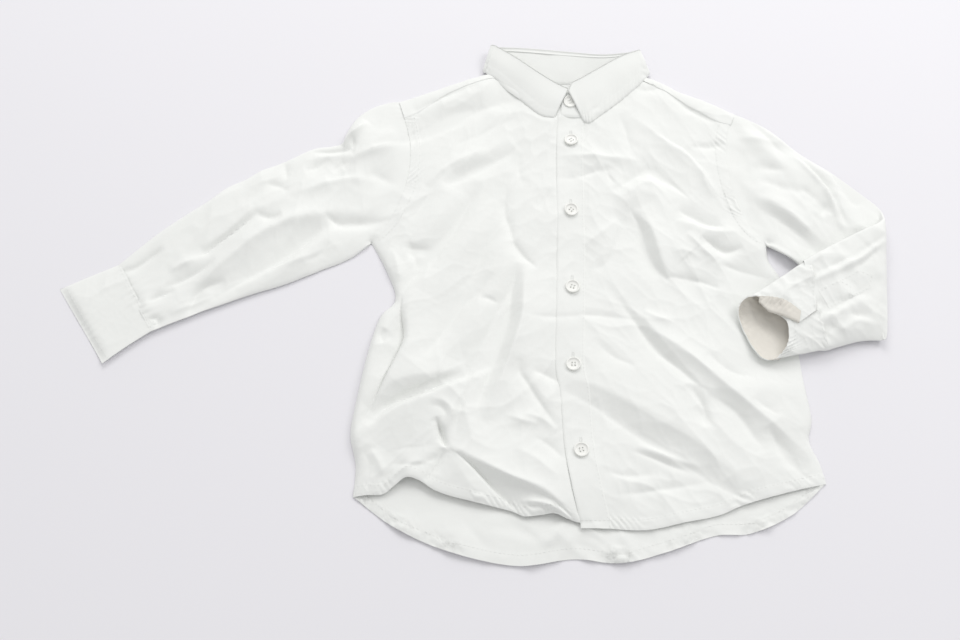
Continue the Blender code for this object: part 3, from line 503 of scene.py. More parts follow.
LEFT_SLEEVE_SECTIONS = (
    # near edge x, y, far edge x, y, middle height, half of its thickness, turn in degrees
    (160.6, 66, 144.6, 194, 2.4, 2.4, 0),
    (172, 57, 172, 178, 3.4, 3.4, 0),
    (186, 46, 200, 151, 3.3, 3.3, 0),
    (206, 20, 224, 134, 2.5, 2.5, 0),
    (228, -6, 246, 114, 2.3, 2.3, 0),
    (243, -17, 258, 102, 2.4, 2.3, 10),
    (246, -19, 260, 92, 6.6, 2.3, 90),
    (240, -19, 254, 82, 10.2, 2.8, 170),
    (226, -20, 234, 72, 10.4, 3.6, 180),
    (208, -25, 208, 58, 10.9, 4.4, 180),
    (198, -28, 194, 50, 11.2, 4.5, 180),
    (190, -27, 187, 46, 11.2, 3.7, 180),
)
LEFT_CUFF_ROWS = (
    # mouth x, y, z, cuff seam x, y, z: from the under-lap, round below, to the overlap
    (157.4, 2.7, 12.5, 193.4, 6.5, 15.2),
    (168.0, -6.7, 14.5, 196.2, -6.6, 14.9),
    (167.3, -24.4, 11.5, 198.3, -20.5, 12.8),
    (156.8, -35.9, 6.5, 199.4, -27.4, 8.6),
    (144.4, -32.1, 5.5, 198.0, -20.9, 5.0),
    (133.4, -6.0, 6.5, 195.4, 0.5, 6.2),
    (131.8, 7.1, 10.0, 193.2, 30.2, 7.5),
    (138.8, 14.4, 14.0, 192.0, 48.0, 13.9),
    (153.6, 14.0, 16.7, 192.3, 38.0, 17.8),
    (168.0, 9.6, 17.6, 192.6, 21.0, 17.6),
    (179.0, 0.8, 17.2, 191.5, 2.0, 16.9),
)
CUFF_FACING = (-2.5, -12.0, -1.9)   # from the overlap's rim to where it turns back over its outer side
SLEEVE_PLACKET_START = (199.0, 12.0)
SLEEVE_PLACKET_ALONG = (0.89, 0.456)
SLEEVE_PLACKET_WIDTH = 17.0
SLEEVE_PLACKET_LENGTH = 48.0


def through(rows, places):
    """A smooth curve through the rows of a table, read at the given places between 0 and 1."""
    rows = np.array(rows, float)
    last = len(rows) - 1
    where = np.clip(np.asarray(places, float), 0, 1) * last
    first = np.minimum(where.astype(int), last - 1)
    t = (where - first).reshape(-1, *([1] * (rows.ndim - 1)))
    before, start, end, after = (rows[np.clip(first + k, 0, last)] for k in (-1, 0, 1, 2))
    return start + 0.5 * t * (end - before + t * (2 * before - 5 * start + 4 * end - after
                                                  + t * (3 * (start - end) + after - before)))


def read_along(points, run, wanted):
    """Points read from a line at the wanted distances, where run holds each point's own distance."""
    return np.stack([np.interp(wanted, run, points[:, k]) for k in range(points.shape[1])], axis=1)


def run_of(points):
    return np.concatenate(([0], np.cumsum(np.linalg.norm(np.diff(points, axis=0), axis=1))))


def evenly(rows, count):
    """Points evenly apart along a smooth curve through the rows."""
    fine = through(rows, np.linspace(0, 1, 40 * len(rows)))
    run = run_of(fine[:, :2])
    return read_along(fine, run, np.linspace(0, run[-1], count))


def part_of(path, places, count=400):
    """Points on a smooth path at places along it, each between 0 and 1."""
    return read_along(evenly(path, count), np.linspace(0, 1, count), places)


def smoothstep(t):
    t = np.clip(t, 0, 1)
    return t * t * (3 - 2 * t)


def from_path(x, y, path):
    """Distance of each point from a path, positive on its left, with how far along it lies, 0 to 1."""
    nodes = evenly(path, 6 * len(path))
    lengths = np.linalg.norm(np.diff(nodes, axis=0), axis=1)
    best = np.full(np.shape(x), 1e9)
    signed = np.zeros(np.shape(x))
    along = np.zeros(np.shape(x))
    run = 0.0
    for start, end, length in zip(nodes[:-1], nodes[1:], lengths):
        ux, uy = (end - start) / length
        t = np.clip((x - start[0]) * ux + (y - start[1]) * uy, 0, length)
        dx = x - start[0] - t * ux
        dy = y - start[1] - t * uy
        distance = np.hypot(dx, dy)
        nearer = distance < best
        best = np.where(nearer, distance, best)
        signed = np.where(nearer, np.where(ux * dy - uy * dx > 0, distance, -distance), signed)
        along = np.where(nearer, (run + t) / lengths.sum(), along)
        run += length
    return signed, along


def fold_height(x, y, folds, crisp=False):
    """Height that folds add up to. Each fades out towards both ends of its path."""
    x, y = np.broadcast_arrays(np.asarray(x, float), np.asarray(y, float))
    total = np.zeros(x.shape)
    for fold in folds:
        reach = 4.5 * max(fold.left, fold.right)
        low, high = fold.path.min(axis=0) - reach, fold.path.max(axis=0) + reach
        near = (x > low[0]) & (x < high[0]) & (y > low[1]) & (y < high[1])
        if not near.any():
            continue
        side, along = from_path(x[near], y[near], fold.path)
        width = np.where(side > 0, fold.left, fold.right)
        if crisp:
            shape = np.exp(-(np.hypot(side, CREASE_ROUND) - CREASE_ROUND) / (0.8 * width))
        else:
            shape = np.exp(-(np.abs(side) / width) ** 1.5)
        total[near] += fold.height * np.clip(np.sin(math.pi * along), 0, 1) ** 0.85 * shape
    return total


def on_cloth(folds, height):
    """The folds with their paths moved from where they are seen over the table to cloth at a height."""
    foot = np.array(SIGHT_FOOT)
    shrink = 1 - height / SIGHT_HEIGHT
    return [fold._replace(path=foot + (fold.path - foot) * shrink) for fold in folds]


BODY_CREASES = on_cloth(FRONT_CREASES, BODY_HEIGHT)
RIGHT_SLEEVE_LINES = on_cloth(RIGHT_SLEEVE_CREASES, BODY_HEIGHT)
LEFT_SLEEVE_LINES = on_cloth(LEFT_SLEEVE_CREASES, BODY_HEIGHT)
FOREARM_LINES = on_cloth(FOREARM_CREASES, FOREARM_HEIGHT)
TAIL_LINES = on_cloth(TAIL_CREASES, TAIL_HEIGHT)


def true_place(seen):
    """Plan places and heights of points that are given by where they are seen over the table."""
    foot = np.array((*SIGHT_FOOT, 0))
    shrink = 1 - seen[:, 2:] / SIGHT_HEIGHT
    return foot + (seen - foot) * np.concatenate((shrink, shrink, 1 + 0 * shrink), axis=1)


def leaned(x, y, leans):
    """The points moved sideways where a ridge overhangs."""
    shift = np.zeros((2, *np.shape(x)))
    for lean in leans:
        side, along = from_path(x, y, lean.path)
        ux, uy = (lean.path[-1] - lean.path[0]) / np.linalg.norm(lean.path[-1] - lean.path[0])
        width = np.where(side > 0, lean.left, lean.right)
        reach = lean.height * np.sin(math.pi * along) * np.exp(-(side / width) ** 2)
        shift += reach * uy, -reach * ux
    return x + shift[0], y + shift[1]


def chance(i, j, seed):
    """A repeatable number between 0 and 1 for each pair of whole numbers."""
    mixed = np.sin(127.1 * i + 311.7 * j + 74.7 * seed) * 43758.5453
    return mixed - np.floor(mixed)


def ripple(x, y, size, seed):
    """Soft noise between -1 and 1, with features of the given size."""
    u, v = np.asarray(x) / size, np.asarray(y) / size
    i, j = np.floor(u), np.floor(v)
    s, t = smoothstep(u - i), smoothstep(v - j)
    low = chance(i, j, seed) * (1 - s) + chance(i + 1, j, seed) * s
    high = chance(i, j + 1, seed) * (1 - s) + chance(i + 1, j + 1, seed) * s
    return 2 * (low * (1 - t) + high * t) - 1


def crushed(x, y, size, seed):
    """Rounded hollows, 0 to about 0.7, that meet in sharp ridges, like those of crushed cloth."""
    u = x / size + 0.4 * ripple(x, y, 0.8 * size, seed + 1)
    v = y / size + 0.4 * ripple(x, y, 0.8 * size, seed + 2)
    i, j = np.floor(u), np.floor(v)
    nearest = second = np.full(np.shape(u), 9.0)
    for p in (-1, 0, 1):
        for q in (-1, 0, 1):
            place_u = i + p + chance(i + p, j + q, seed)
            place_v = j + q + chance(i + p, j + q, seed + 5)
            distance = (u - place_u) ** 2 + (v - place_v) ** 2
            second = np.minimum(second, np.maximum(nearest, distance))
            nearest = np.minimum(nearest, distance)
    return nearest + 0.12 * np.exp(-(np.sqrt(second) - np.sqrt(nearest)) / 0.12)


def crumple(x, y, seed):
    """The small unevenness of washed cloth that was not ironed, drawn out away from the placket."""
    away = np.hypot(x - CRUMPLE_X, 5)
    v = CRUMPLE_SIN * away + CRUMPLE_COS * y
    patchy = 0.8 + 0.7 * ripple(x, y, 46, seed + 29)
    share = smoothstep((x - CRUMPLE_X) / 16 + 0.5)
    height = 0.22 * crushed(x, y, 7, seed + 17)
    for start, part in ((900.0, 1 - share), (0.0, share)):
        u = (CRUMPLE_COS * away - CRUMPLE_SIN * y) / CRUMPLE_STRETCH + start
        large = 2.6 * crushed(u, v, 32, seed) + 1.1 * crushed(u, v, 13, seed + 11) - 1.2
        height = height + part * (patchy * large + 0.6 * ripple(u, v, 24, seed + 23))
    return height


def positive(height):
    return (height + np.sqrt(height ** 2 + 1.0)) / 2


def rolled(distance, roll=EDGE_ROLL):
    """0 at an edge, then up steeply over the edge's own roll, and on more slowly to 1."""
    inside = 1 - np.clip(distance / EDGE_RADIUS, 0, 1)
    return 0.2 * np.sqrt(1 - inside ** 2) + 0.8 * (1 - np.exp(-distance / roll))


def rise_from(x, y, edges, roll=EDGE_ROLL):
    """0 at the edges, 1 well away from them."""
    return math.prod(rolled(np.abs(from_path(x, y, edge)[0]), roll) for edge in edges)


def side_fullness(x, y):
    """How far the body puffs up along its side seams."""
    fullness = 0
    for edge, rows in ((SIDE_RIGHT, FULLNESS_RIGHT), (SIDE_LEFT, FULLNESS_LEFT)):
        side, along = from_path(x, y, edge)
        height = np.interp(along, np.linspace(0, 1, len(rows)), rows)
        away = np.abs(side)
        fullness = fullness + height * rolled(away, 3.0) * np.exp(-(away / 15) ** 2)
    return fullness


def front_top(x, y, crease=1.0):
    """Height of the fronts' upper side, which the open cuff presses down where it lies."""
    under_cuff = smoothstep((x - 118) / 24) * smoothstep((66 - y) / 26) * smoothstep((y + 62) / 22)
    free = (AIR + FOLD_EASE * fold_height(x, y, BODY_FOLDS) + fold_height(x, y, LOW_FOLDS)
            + CREASE_GAIN * crease * fold_height(x, y, BODY_CREASES, crisp=True)
            + crease * crumple(x, y, 3))
    free = (0.9 + positive(free - 0.9)) * rise_from(x, y, (SIDE_RIGHT, SIDE_LEFT)) * (1 - 0.75 * under_cuff)
    free *= 0.3 + 0.7 * rise_from(x, y, (SHOULDER_RIGHT, SHOULDER_LEFT), 6.0)
    free *= 0.62 + 0.38 * rise_from(x, y, (FRONT_HEM_RIGHT, FRONT_HEM_LEFT), 12.0)
    return EDGE_TOP + free + side_fullness(x, y)


def placket_left(y):
    edge = through(PLACKET_EDGE, np.linspace(0, 1, 160))
    return np.interp(y, edge[::-1, 1], edge[::-1, 0])


def across(left, right, places):
    """Points at places between a left edge and a right edge, one row for each pair of points."""
    u = np.asarray(places)[None, :, None]
    return left[:, None, :] * (1 - u) + right[:, None, :] * u


def side_edge(side, rows):
    """The outer edge of a body piece: down its armhole from the yoke seam, then down its side seam."""
    armhole, seam, place = ((ARMHOLE_RIGHT, SIDE_RIGHT, SEAM_PLACE_RIGHT) if side < 0
                            else (ARMHOLE_LEFT, SIDE_LEFT, SEAM_PLACE_LEFT))
    down = int(rows * ARMHOLE_SHARE)
    return np.concatenate((part_of(armhole, np.linspace(place, 0, down))[:-1], evenly(seam, rows - down + 1)))


def hemmed(plan, hem, share):
    """A piece's plan points with the last row moved to its hem, over the given share of its rows."""
    rows, columns = plan.shape[:2]
    follow = smoothstep((np.linspace(0, 1, rows) - (1 - share)) / share)
    return plan + (evenly(hem, columns) - plan[-1]) * follow[:, None, None]


def edge_first(grid, side):
    """The grid turned so that the named edge is its first row. Turning it again the same way undoes it."""
    return {"top": grid, "bottom": grid[::-1], "left": grid.swapaxes(0, 1),
            "right": grid[:, ::-1].swapaxes(0, 1)}[side]


def from_edge(grid, side):
    """For each point, the distance over the cloth from an edge and the distance along it."""
    work = edge_first(grid, side)
    steps = np.linalg.norm(np.diff(work, axis=0), axis=2)
    depth = np.concatenate((np.zeros((1, work.shape[1])), np.cumsum(steps, axis=0)))
    return depth, np.broadcast_to(run_of(work[0]), depth.shape)


def banded(grid, side, depth, rise=0.35, pitch=6.0, swing=0.35, seed=1, fade=4.0, end=1.0):
    """The grid with a turned band along one edge, as far as its end, sewn down with slanting puckers."""
    grid = grid.copy()
    work = edge_first(grid, side)
    down, along = from_edge(grid, side)
    active = smoothstep((end - along / along[0, -1]) / 0.02 + 1)
    strength = np.clip(0.4 + 1.1 * ripple(along, 0 * along, 21, seed), 0.05, 1.2)
    phase = (along + 0.7 * down) / pitch + 1.8 * ripple(along, 0 * along, 2.2 * pitch, seed + 1)
    wave = np.sin(2 * math.pi * phase)
    inside = smoothstep((depth + 1.0 - down) / 1.4)
    beyond = np.exp(-np.clip(down - depth, 0, None) / fade)
    groove = np.exp(-((down - depth) / 0.9) ** 2) + 0.7 * np.exp(-(down / 1.2) ** 2)
    work[..., 2] += active * (rise * inside - 0.5 * rise * groove
                              + swing * strength * wave * beyond * smoothstep(down / 2 + 0.4))
    return grid


def tucked(grid, depth, *sides):
    """The grid with edges bent down into the cloth that it is sewn to or lies on."""
    grid = grid.copy()
    for side in sides:
        work = edge_first(grid, side)
        work[0, :, 2] -= depth
        work[1, :, 2] -= 0.15 * depth
    return grid


def inset_line(grid, side, distance, start, end):
    """The line on the cloth at a distance from one edge, over a part of that edge."""
    work = edge_first(grid, side)
    depth, _ = from_edge(grid, side)
    last = work.shape[1] - 1
    return np.concatenate([read_along(work[:, c], depth[:, c], [distance])
                           for c in range(int(start * last), int(end * last) + 1)])


def cell_lengths(grid):
    """Distances over the cloth along each row and down each column, for the weave."""
    over = np.linalg.norm(np.diff(grid, axis=1), axis=2)
    down = np.linalg.norm(np.diff(grid, axis=0), axis=2)
    u = np.concatenate((np.zeros((grid.shape[0], 1)), np.cumsum(over, axis=1)), axis=1)
    v = np.concatenate((np.zeros((1, grid.shape[1])), np.cumsum(down, axis=0)), axis=0)
    return np.stack((u - u[:, grid.shape[1] // 2][:, None], v), axis=-1)


def quads(rows, columns, closed=False):
    """The faces between the points of a grid, whose last column meets its first where it is closed."""
    number = np.arange(rows * columns).reshape(rows, columns)
    if closed:
        number = np.concatenate((number, number[:, :1]), axis=1)
    return np.stack((number[:-1, :-1], number[1:, :-1], number[1:, 1:], number[:-1, 1:]), axis=-1)


def new_mesh(name, vertices, faces, finish):
    """A smooth mesh of vertices in millimetres."""
    mesh = bpy.data.meshes.new(name)
    mesh.from_pydata((np.asarray(vertices, float) * MM).tolist(), [], faces)
    mesh.shade_smooth()
    mesh.materials.append(finish)
    return mesh


def new_object(name, data):
    made = bpy.data.objects.new(name, data)
    bpy.context.scene.collection.objects.link(made)
    return made


def add_piece(name, vertices, faces, finish, uv=None):
    """A cotton piece whose vertices are plan places and heights."""
    mesh = new_mesh(name, np.asarray(vertices, float) - (*PLAN_MIDDLE, 0), faces, finish)
    if uv is not None:
        layer = mesh.uv_layers.new(name="cloth")
        corners = np.zeros(len(mesh.loops), dtype=np.int32)
        mesh.loops.foreach_get("vertex_index", corners)
        layer.data.foreach_set("uv", (uv[corners] * MM).ravel())
    edges = np.zeros(len(mesh.loops), dtype=np.int32)
    mesh.loops.foreach_get("edge_index", edges)
    mesh.edges.foreach_set("use_edge_sharp", np.bincount(edges, minlength=len(mesh.edges)) == 1)
    made = new_object(name, mesh)
    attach(made, "root")
    return made


def add_cloth(name, node, grid, finish, thickness=CLOTH, keep=None, inside=None):
    """A layer of cloth for a node, from a grid of points on its outer side, thickened inwards."""
    rows, columns = grid.shape[:2]
    faces = quads(rows, columns)
    if keep is not None:
        faces = faces[keep[:-1, :-1] & keep[1:, 1:]]
    faces = faces.reshape(-1, 4)
    used = np.unique(faces)
    renumbered = np.zeros(rows * columns, dtype=int)
    renumbered[used] = np.arange(len(used))
    made = add_piece(name, grid.reshape(-1, 3)[used], renumbered[faces].tolist(), finish,
                     cell_lengths(grid).reshape(-1, 2)[used])
    thicken = made.modifiers.new("thickness", "SOLIDIFY")
    thicken.thickness = thickness * MM
    thicken.offset = -1.0
    # A second material for the inner side. On the open cuff it is painted shade, not a cloth of its own
    # colour.
    if inside:
        made.data.materials.append(inside)
        thicken.material_offset = 1
    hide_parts(node)
    return grid


def add_tube(name, node, rings, finish):
    """An open tube of cloth for a node, from rings of points on its outer side."""
    count, around = rings.shape[:2]
    closed = np.concatenate((rings, rings[:, :1]), axis=1)
    made = add_piece(name, rings.reshape(-1, 3), quads(count, around, True).reshape(-1, 4).tolist(), finish,
                     cell_lengths(closed)[:, :-1].reshape(-1, 2))
    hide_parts(node)


def front_plan(side, rows, columns):
    """Plan points of one front, from the yoke and neck down to the hem."""
    outer = side_edge(side, rows)
    y = np.linspace(PLACKET_TOP_Y, UNDER_FRONT_HEM_Y if side < 0 else PLACKET_HEM_Y, rows)
    inner = np.stack((placket_left(y), y), axis=1)
    over = np.linspace(0, 1, columns)
    if side < 0:
        inner[:, 0] += PLACKET_OVERLAP
        plan, hem, top = across(outer, inner, over), FRONT_HEM_RIGHT, FRONT_TOP_RIGHT
    else:
        inner[:, 0] += PLACKET_WIDTH - SEAM_LAP
        plan, hem, top = across(inner, outer, over), FRONT_HEM_LEFT, FRONT_TOP_LEFT[::-1]
    plan = hemmed(plan, hem, 0.3)
    end = 0 if side < 0 else -1
    top = np.array(top, float)
    top[end] = plan[0, end]
    return hemmed(plan[::-1], top, 0.3)[::-1]


def build_back(cotton):
    """The back, flat on the table, with its longer tail waved and lifted at both ends."""
    rows = 150
    plan = hemmed(across(side_edge(-1, rows), side_edge(1, rows), np.linspace(0, 1, 170)), BACK_HEM, 0.4)
    x, y = 0.995 * plan[..., 0], plan[..., 1]
    below_front = smoothstep((TAIL_TOP_Y - y) / 24)
    wave = 1 + np.sin(x / 19) + 1.8 * crumple(x, y, 41) + 0.9
    z = CLOTH + np.clip(below_front * (wave + fold_height(x, y, TAIL_LINES, crisp=True)), 0, None)
    grid = banded(np.dstack((x, y, z)), "bottom", HEM_DEPTH, pitch=5.2, swing=1.5, seed=7, fade=3.0)
    grid[..., 2] = np.maximum(grid[..., 2], CLOTH)
    return add_cloth("back_panel", "back", grid, cotton)


def build_front(side, cotton):
    """One front, from its side to the placket. The wearer's right one passes below the placket."""
    plan = front_plan(side, 310, 144 if side < 0 else 140)
    x, y = plan[..., 0], plan[..., 1]
    z = front_top(x, y)
    if side < 0:
        below = smoothstep((x - placket_left(y) + SEAM_LAP) / 5)
        z = np.maximum(z - PLACKET_STEP * below, EDGE_TOP)
        x, y = leaned(x, y, FRONT_LEANS)
    word, outer, seed = ("right", "left", 11) if side < 0 else ("left", "right", 17)
    grid = banded(np.dstack((x, y, z)), "bottom", HEM_DEPTH, pitch=5.0, swing=0.5, seed=seed, fade=1.8)
    grid = banded(grid, outer, ARMHOLE_BAND, rise=0.3, pitch=5, swing=0.4, seed=seed + 2, end=ARMHOLE_SHARE)
    return add_cloth("front_panel_" + word, "front_" + word, grid, cotton)


def build_placket(cotton):
    """The buttonhole placket down the centre, over the right front."""
    y = np.linspace(PLACKET_TOP_Y, PLACKET_HEM_Y, 260)[:, None]
    over = np.linspace(0, PLACKET_WIDTH, 26)[None, :]
    x = placket_left(y) + over
    y = y + 0 * x
    z = front_top(x, y, crease=0.75) + PLACKET_RISE
    z -= 0.5 * smoothstep((over - PLACKET_WIDTH + 1.6) / 1.6) + 0.3 * smoothstep((0.8 - over) / 0.8)
    grid = tucked(np.dstack((x, y, z)), 0.3, "left")
    return add_cloth("placket_band", "button_placket", grid, cotton, thickness=BAND)


def build_yoke(cotton):
    """The yoke: below the neck on the table, turned up over each shoulder to the front yoke seam."""
    wing, middle = 60, 30
    lower, roll, upper = 10, 8, 26
    columns = []
    for side, shoulder, top in ((-1, SHOULDER_RIGHT, FRONT_TOP_RIGHT), (1, SHOULDER_LEFT, FRONT_TOP_LEFT)):
        fold = evenly(shoulder, wing)
        seam = part_of(top, np.linspace(0, YOKE_FRONT_SHARE, wing), 200) - (0, YOKE_LAP)
        w = np.linspace(0, 1, wing)[:, None]
        back = side_edge(side, 9)[0] * (1 - w) + np.array((fold[-1, 0], BACK_YOKE_SEAM_Y)) * w
        columns.append(list(zip(back, fold, seam)))
    left, right = columns[0], columns[1][::-1]
    centre = []
    for t in np.linspace(0, 1, middle + 2)[1:-1]:
        edge = left[-1][1] * (1 - t) + right[0][1] * t
        neck = edge - (0, NECK_HOLLOW * math.sin(math.pi * t))
        centre.append((np.array((edge[0], BACK_YOKE_SEAM_Y)), neck, None))
    everything = left + centre + right
    grid = np.zeros((lower + roll + upper, len(everything), 3))
    for c, (back, fold, seam) in enumerate(everything):
        edge = fold if seam is None else fold - (0, YOKE_LAP)
        t = np.linspace(0, 1, lower)[:, None]
        grid[:lower, c, :2] = back * (1 - t) + edge * t
        grid[:lower, c, 2] = CLOTH
        if seam is None:
            grid[lower:, c] = grid[lower - 1, c]
            continue
        t = np.linspace(0, 1, upper)[:, None]
        grid[lower + roll:, c, :2] = edge * (1 - t) + seam * t
        x, y = grid[lower + roll:, c, 0], grid[lower + roll:, c, 1]
        grid[lower + roll:, c, 2] = front_top(x, y) + YOKE_RISE + 0.08 * ripple(x, y, 5, 29)
        high = grid[lower + roll, c, 2]
        turn = np.linspace(0, math.pi, roll + 2)[1:-1]
        grid[lower:lower + roll, c, 0] = fold[0]
        grid[lower:lower + roll, c, 1] = fold[1] - YOKE_LAP + 0.5 * high * np.sin(turn)
        grid[lower:lower + roll, c, 2] = CLOTH + (high - CLOTH) * (0.5 - 0.5 * np.cos(turn))
    keep = np.ones(grid.shape[:2], bool)
    keep[lower:, wing:wing + middle] = False
    return add_cloth("yoke_panel", "yoke", tucked(grid[::-1], 0.55, "top"), cotton, keep=keep[::-1])


def build_collar(cotton):
    """The stand round the neck and the leaf that turns over it, from the right front to the left."""
    stand = through(STAND_ROWS, np.linspace(0, 1, 200)).reshape(-1, 2, 3)
    grid = across(stand[:, 0], stand[:, 1], np.linspace(0, 1, 20))
    grid[..., 2] += 0.35 * ripple(grid[..., 0], grid[..., 1], 14, 51)
    add_cloth("collar_stand_band", "collar_stand", tucked(grid, 0.7, "left"), cotton, thickness=BAND)
    leaf = through(LEAF_ROWS, np.linspace(0, 1, 300)).reshape(-1, 2, 3)
    fold, outer = true_place(leaf[:, 0]), true_place(leaf[:, 1])
    flat_back = smoothstep((2.6 - outer[:, 2]) / 1.5)[:, None]
    over_front = np.convolve(np.pad(front_top(outer[:, 0], outer[:, 1]), 3, "edge"),
                             np.full(7, 1 / 7), "valid") + COLLAR_RISE
    outer[:, 2] = np.where(flat_back[:, 0] > 0, outer[:, 2], np.maximum(outer[:, 2], over_front))
    fall = outer - fold
    lift = np.array((0, 0, 1.0))
    inside = fold + fall * (0.13, 0.13, 0) - lift * (2.6 - 1.3 * flat_back)
    sections = np.stack((inside, fold + fall * 0.03 - lift * 0.9, fold, fold + fall * 0.06 - lift * 0.1,
                         fold + fall * 0.5 + lift * (1.1 - 3.2 * flat_back), outer), axis=1)
    steps = np.concatenate((np.linspace(0, 0.6, 18)[:-1], np.linspace(0.6, 1, 34)))
    grid = np.stack([through(section, steps) for section in sections])
    grid[..., 2] += 0.3 * ripple(grid[..., 0], grid[..., 1], 17, 53)
    grid = banded(grid, "right", LEAF_BAND, rise=0.2, pitch=5.5, swing=0.22, seed=57)
    grid = tucked(grid, 0.55, "top", "bottom", "right")
    return add_cloth("collar_leaf_band", "collar_leaf", grid[::-1], cotton, thickness=0.7)


def build_label(cotton):
    """The blank label sewn inside the back neck."""
    x, y = np.meshgrid(np.linspace(*LABEL_X, 24), np.linspace(*LABEL_Y, 14))
    add_cloth("label_blank", "neck_label", np.dstack((x, y, LABEL_Z + 0.25 * np.sin(x / 6))), cotton)


def cosine_steps(count):
    return 0.5 - 0.5 * np.cos(np.linspace(0, math.pi, count))


def off_straight(armhole, u):
    """How far an armhole's curve stands off the straight line between its ends."""
    curve = part_of(armhole, u)
    return curve - across(curve[:1], curve[-1:], u)[0]


def flat_rings(sections, folds, creases, count, points, lift, end_drop, armhole=None, air=AIR, seed=61):
    """Rings of a tube that lies flat: along its top from the near edge to the far edge, and back below.

    The near edge stands off the table by the lift, which is read along the tube.
    """
    rows = through(sections, np.linspace(0, 1, count))
    u = cosine_steps(points)
    plan = across(rows[:, :2], rows[:, 2:], u)
    if armhole is not None:
        bend = np.clip(1 - np.linspace(0, 1, count) / 0.35, 0, 1) ** 2
        plan = plan + off_straight(armhole, u)[None] * bend[:, None, None]
    width = np.linalg.norm(rows[:, None, 2:] - rows[:, None, :2], axis=2)
    x, y = plan[..., 0], plan[..., 1]
    free = (air + SLEEVE_EASE * fold_height(x, y, folds)
            + SLEEVE_CREASE_GAIN * fold_height(x, y, creases, crisp=True) + crumple(x, y, seed))
    lifted = np.interp(np.linspace(0, 1, count), np.linspace(0, 1, len(lift)), lift)[:, None]
    bottom = lifted * np.exp(-(u * width) / 5.0)
    top = EDGE_TOP + positive(free) * rolled(np.minimum(u, 1 - u)[None, :] * width) + bottom
    from_start = np.linalg.norm(plan - plan[:1], axis=2)
    from_end = np.linalg.norm(plan - plan[-1:], axis=2)
    if armhole is not None:
        near_body = np.exp(-(from_start / 16) ** 2)
        pucker = 0.22 * np.sin(1.2 * y + 2 * ripple(x, y, 12, 31)) * np.exp(-from_start / 8)
        drop = SEAM_DROP + 0.4 * np.exp(-(from_start / 2.2) ** 2)
        top = top * (1 - near_body) + (front_top(x, y) - drop + pucker) * near_body
    top = bottom + (top - bottom) * (1 - end_drop * np.exp(-(from_end / 5) ** 2))
    teeth = np.sin(2 * math.pi * (u * width) / 5.6 + 2.5 * ripple(u * width, 0 * width, 13, seed + 3))
    teeth *= np.clip(0.5 + 1.2 * ripple(u * width, 0 * width, 17, seed + 5), 0, 1.2)
    fade = smoothstep(from_end / 3) * np.exp(-from_end / 7) + (armhole is None) * np.exp(-from_start / 5)
    top += 0.42 * teeth * fade
    top[:, 0] = bottom[:, 0] + EDGE_TOP
    top[:, -1] = EDGE_TOP
    upper = np.dstack((x, y, top))
    lower = np.dstack((x, y, bottom))[:, ::-1][:, 1:-1]
    return upper, np.concatenate((upper, lower), axis=1)


def build_right_sleeve(cotton):
    """The sleeve that is stretched out, flat on the table, and its closed cuff."""
    sleeve, rings = flat_rings(RIGHT_SLEEVE_SECTIONS, RIGHT_SLEEVE_FOLDS + FRONT_FOLDS[:2],
                               RIGHT_SLEEVE_LINES + BODY_CREASES[:1], 190, 90, SLEEVE_LIFT, 0.25,
                               ARMHOLE_RIGHT)
    add_tube("sleeve_tube_right", "sleeve_right", rings, cotton)
    cuff, rings = flat_rings(RIGHT_CUFF_SECTIONS, (), (), 70, 84, SLEEVE_LIFT[-1:] * 2, 0.9, air=3.9, seed=67)
    add_tube("cuff_tube_right", "cuff_right", rings, cotton)
    return sleeve, cuff


def left_sleeve_ring(row, place, u, seed):
    """One ring: over the side that faces up on the upper arm, and back over the one that does once folded."""
    middle, half, turn = row[4:]
    plan = across(row[None, :2], row[None, 2:4], u)[0]
    plan = plan + off_straight(ARMHOLE_LEFT, u) * max(0.0, 1 - 3.6 * place) ** 2
    round_off = (1 - np.abs(2 * u - 1) ** 5) ** 0.4
    reach = half * round_off
    up, out = math.cos(math.radians(turn)), math.sin(math.radians(turn))
    # Once folded, the ring is tilted and sinks at its near edge. Near the armpit it bulges.
    middle = middle + FOREARM_TILT * (u - 0.5) * smoothstep((turn - 90) / 60)
    middle = middle - 3.5 * np.exp(-u / 0.1) * smoothstep((turn - 110) / 60)
    middle = middle + 4.0 * np.exp(-u / 0.16) * math.exp(-((place - 0.12) / 0.08) ** 2)
    x, y = plan[:, 0], plan[:, 1]
    folds, lines = (LEFT_SLEEVE_FOLDS, LEFT_SLEEVE_LINES) if turn < 90 else (FOREARM_FOLDS, FOREARM_LINES)
    height = (fold_height(x, y, folds) + CREASE_GAIN * fold_height(x, y, lines, crisp=True)
              + crumple(1.3 * x, 1.3 * y, seed))
    height = height * (1 - 0.85 * smoothstep((place - 0.9) / 0.06)) - 0.5 * smoothstep((place - 0.93) / 0.04)
    height = np.maximum(height, -1.6) * round_off * smoothstep(abs(up)) * smoothstep((half - 1.6) / 0.6)
    if place < 0.3:
        from_seam = np.abs(from_path(x, y, ARMHOLE_LEFT)[0])
        near_body = np.exp(-(from_seam / 14) ** 2) * smoothstep(12 * u) * smoothstep(20 * (1 - u))
        drop = SEAM_DROP + 0.4 * smoothstep(1 - place / 0.012)
        height = height * (1 - near_body) + (front_top(x, y) - drop - middle - reach) * near_body
    first = np.column_stack((x - reach * out, y, middle + reach * up))
    second = np.column_stack((x + reach * out, y, np.maximum(middle - reach * up, 0)))
    risen = first if turn < 90 else second
    risen[:, 2] += height
    return np.concatenate((first, second[::-1][1:-1]))


def build_left_sleeve(cotton):
    """The sleeve that is folded back over itself at the elbow."""
    count = 190
    rows = through(LEFT_SLEEVE_SECTIONS, np.linspace(0, 1, count))
    rings = [left_sleeve_ring(row, n / count, cosine_steps(72), 71) for n, row in enumerate(rows)]
    add_tube("sleeve_tube_left", "sleeve_left", np.array(rings), cotton)


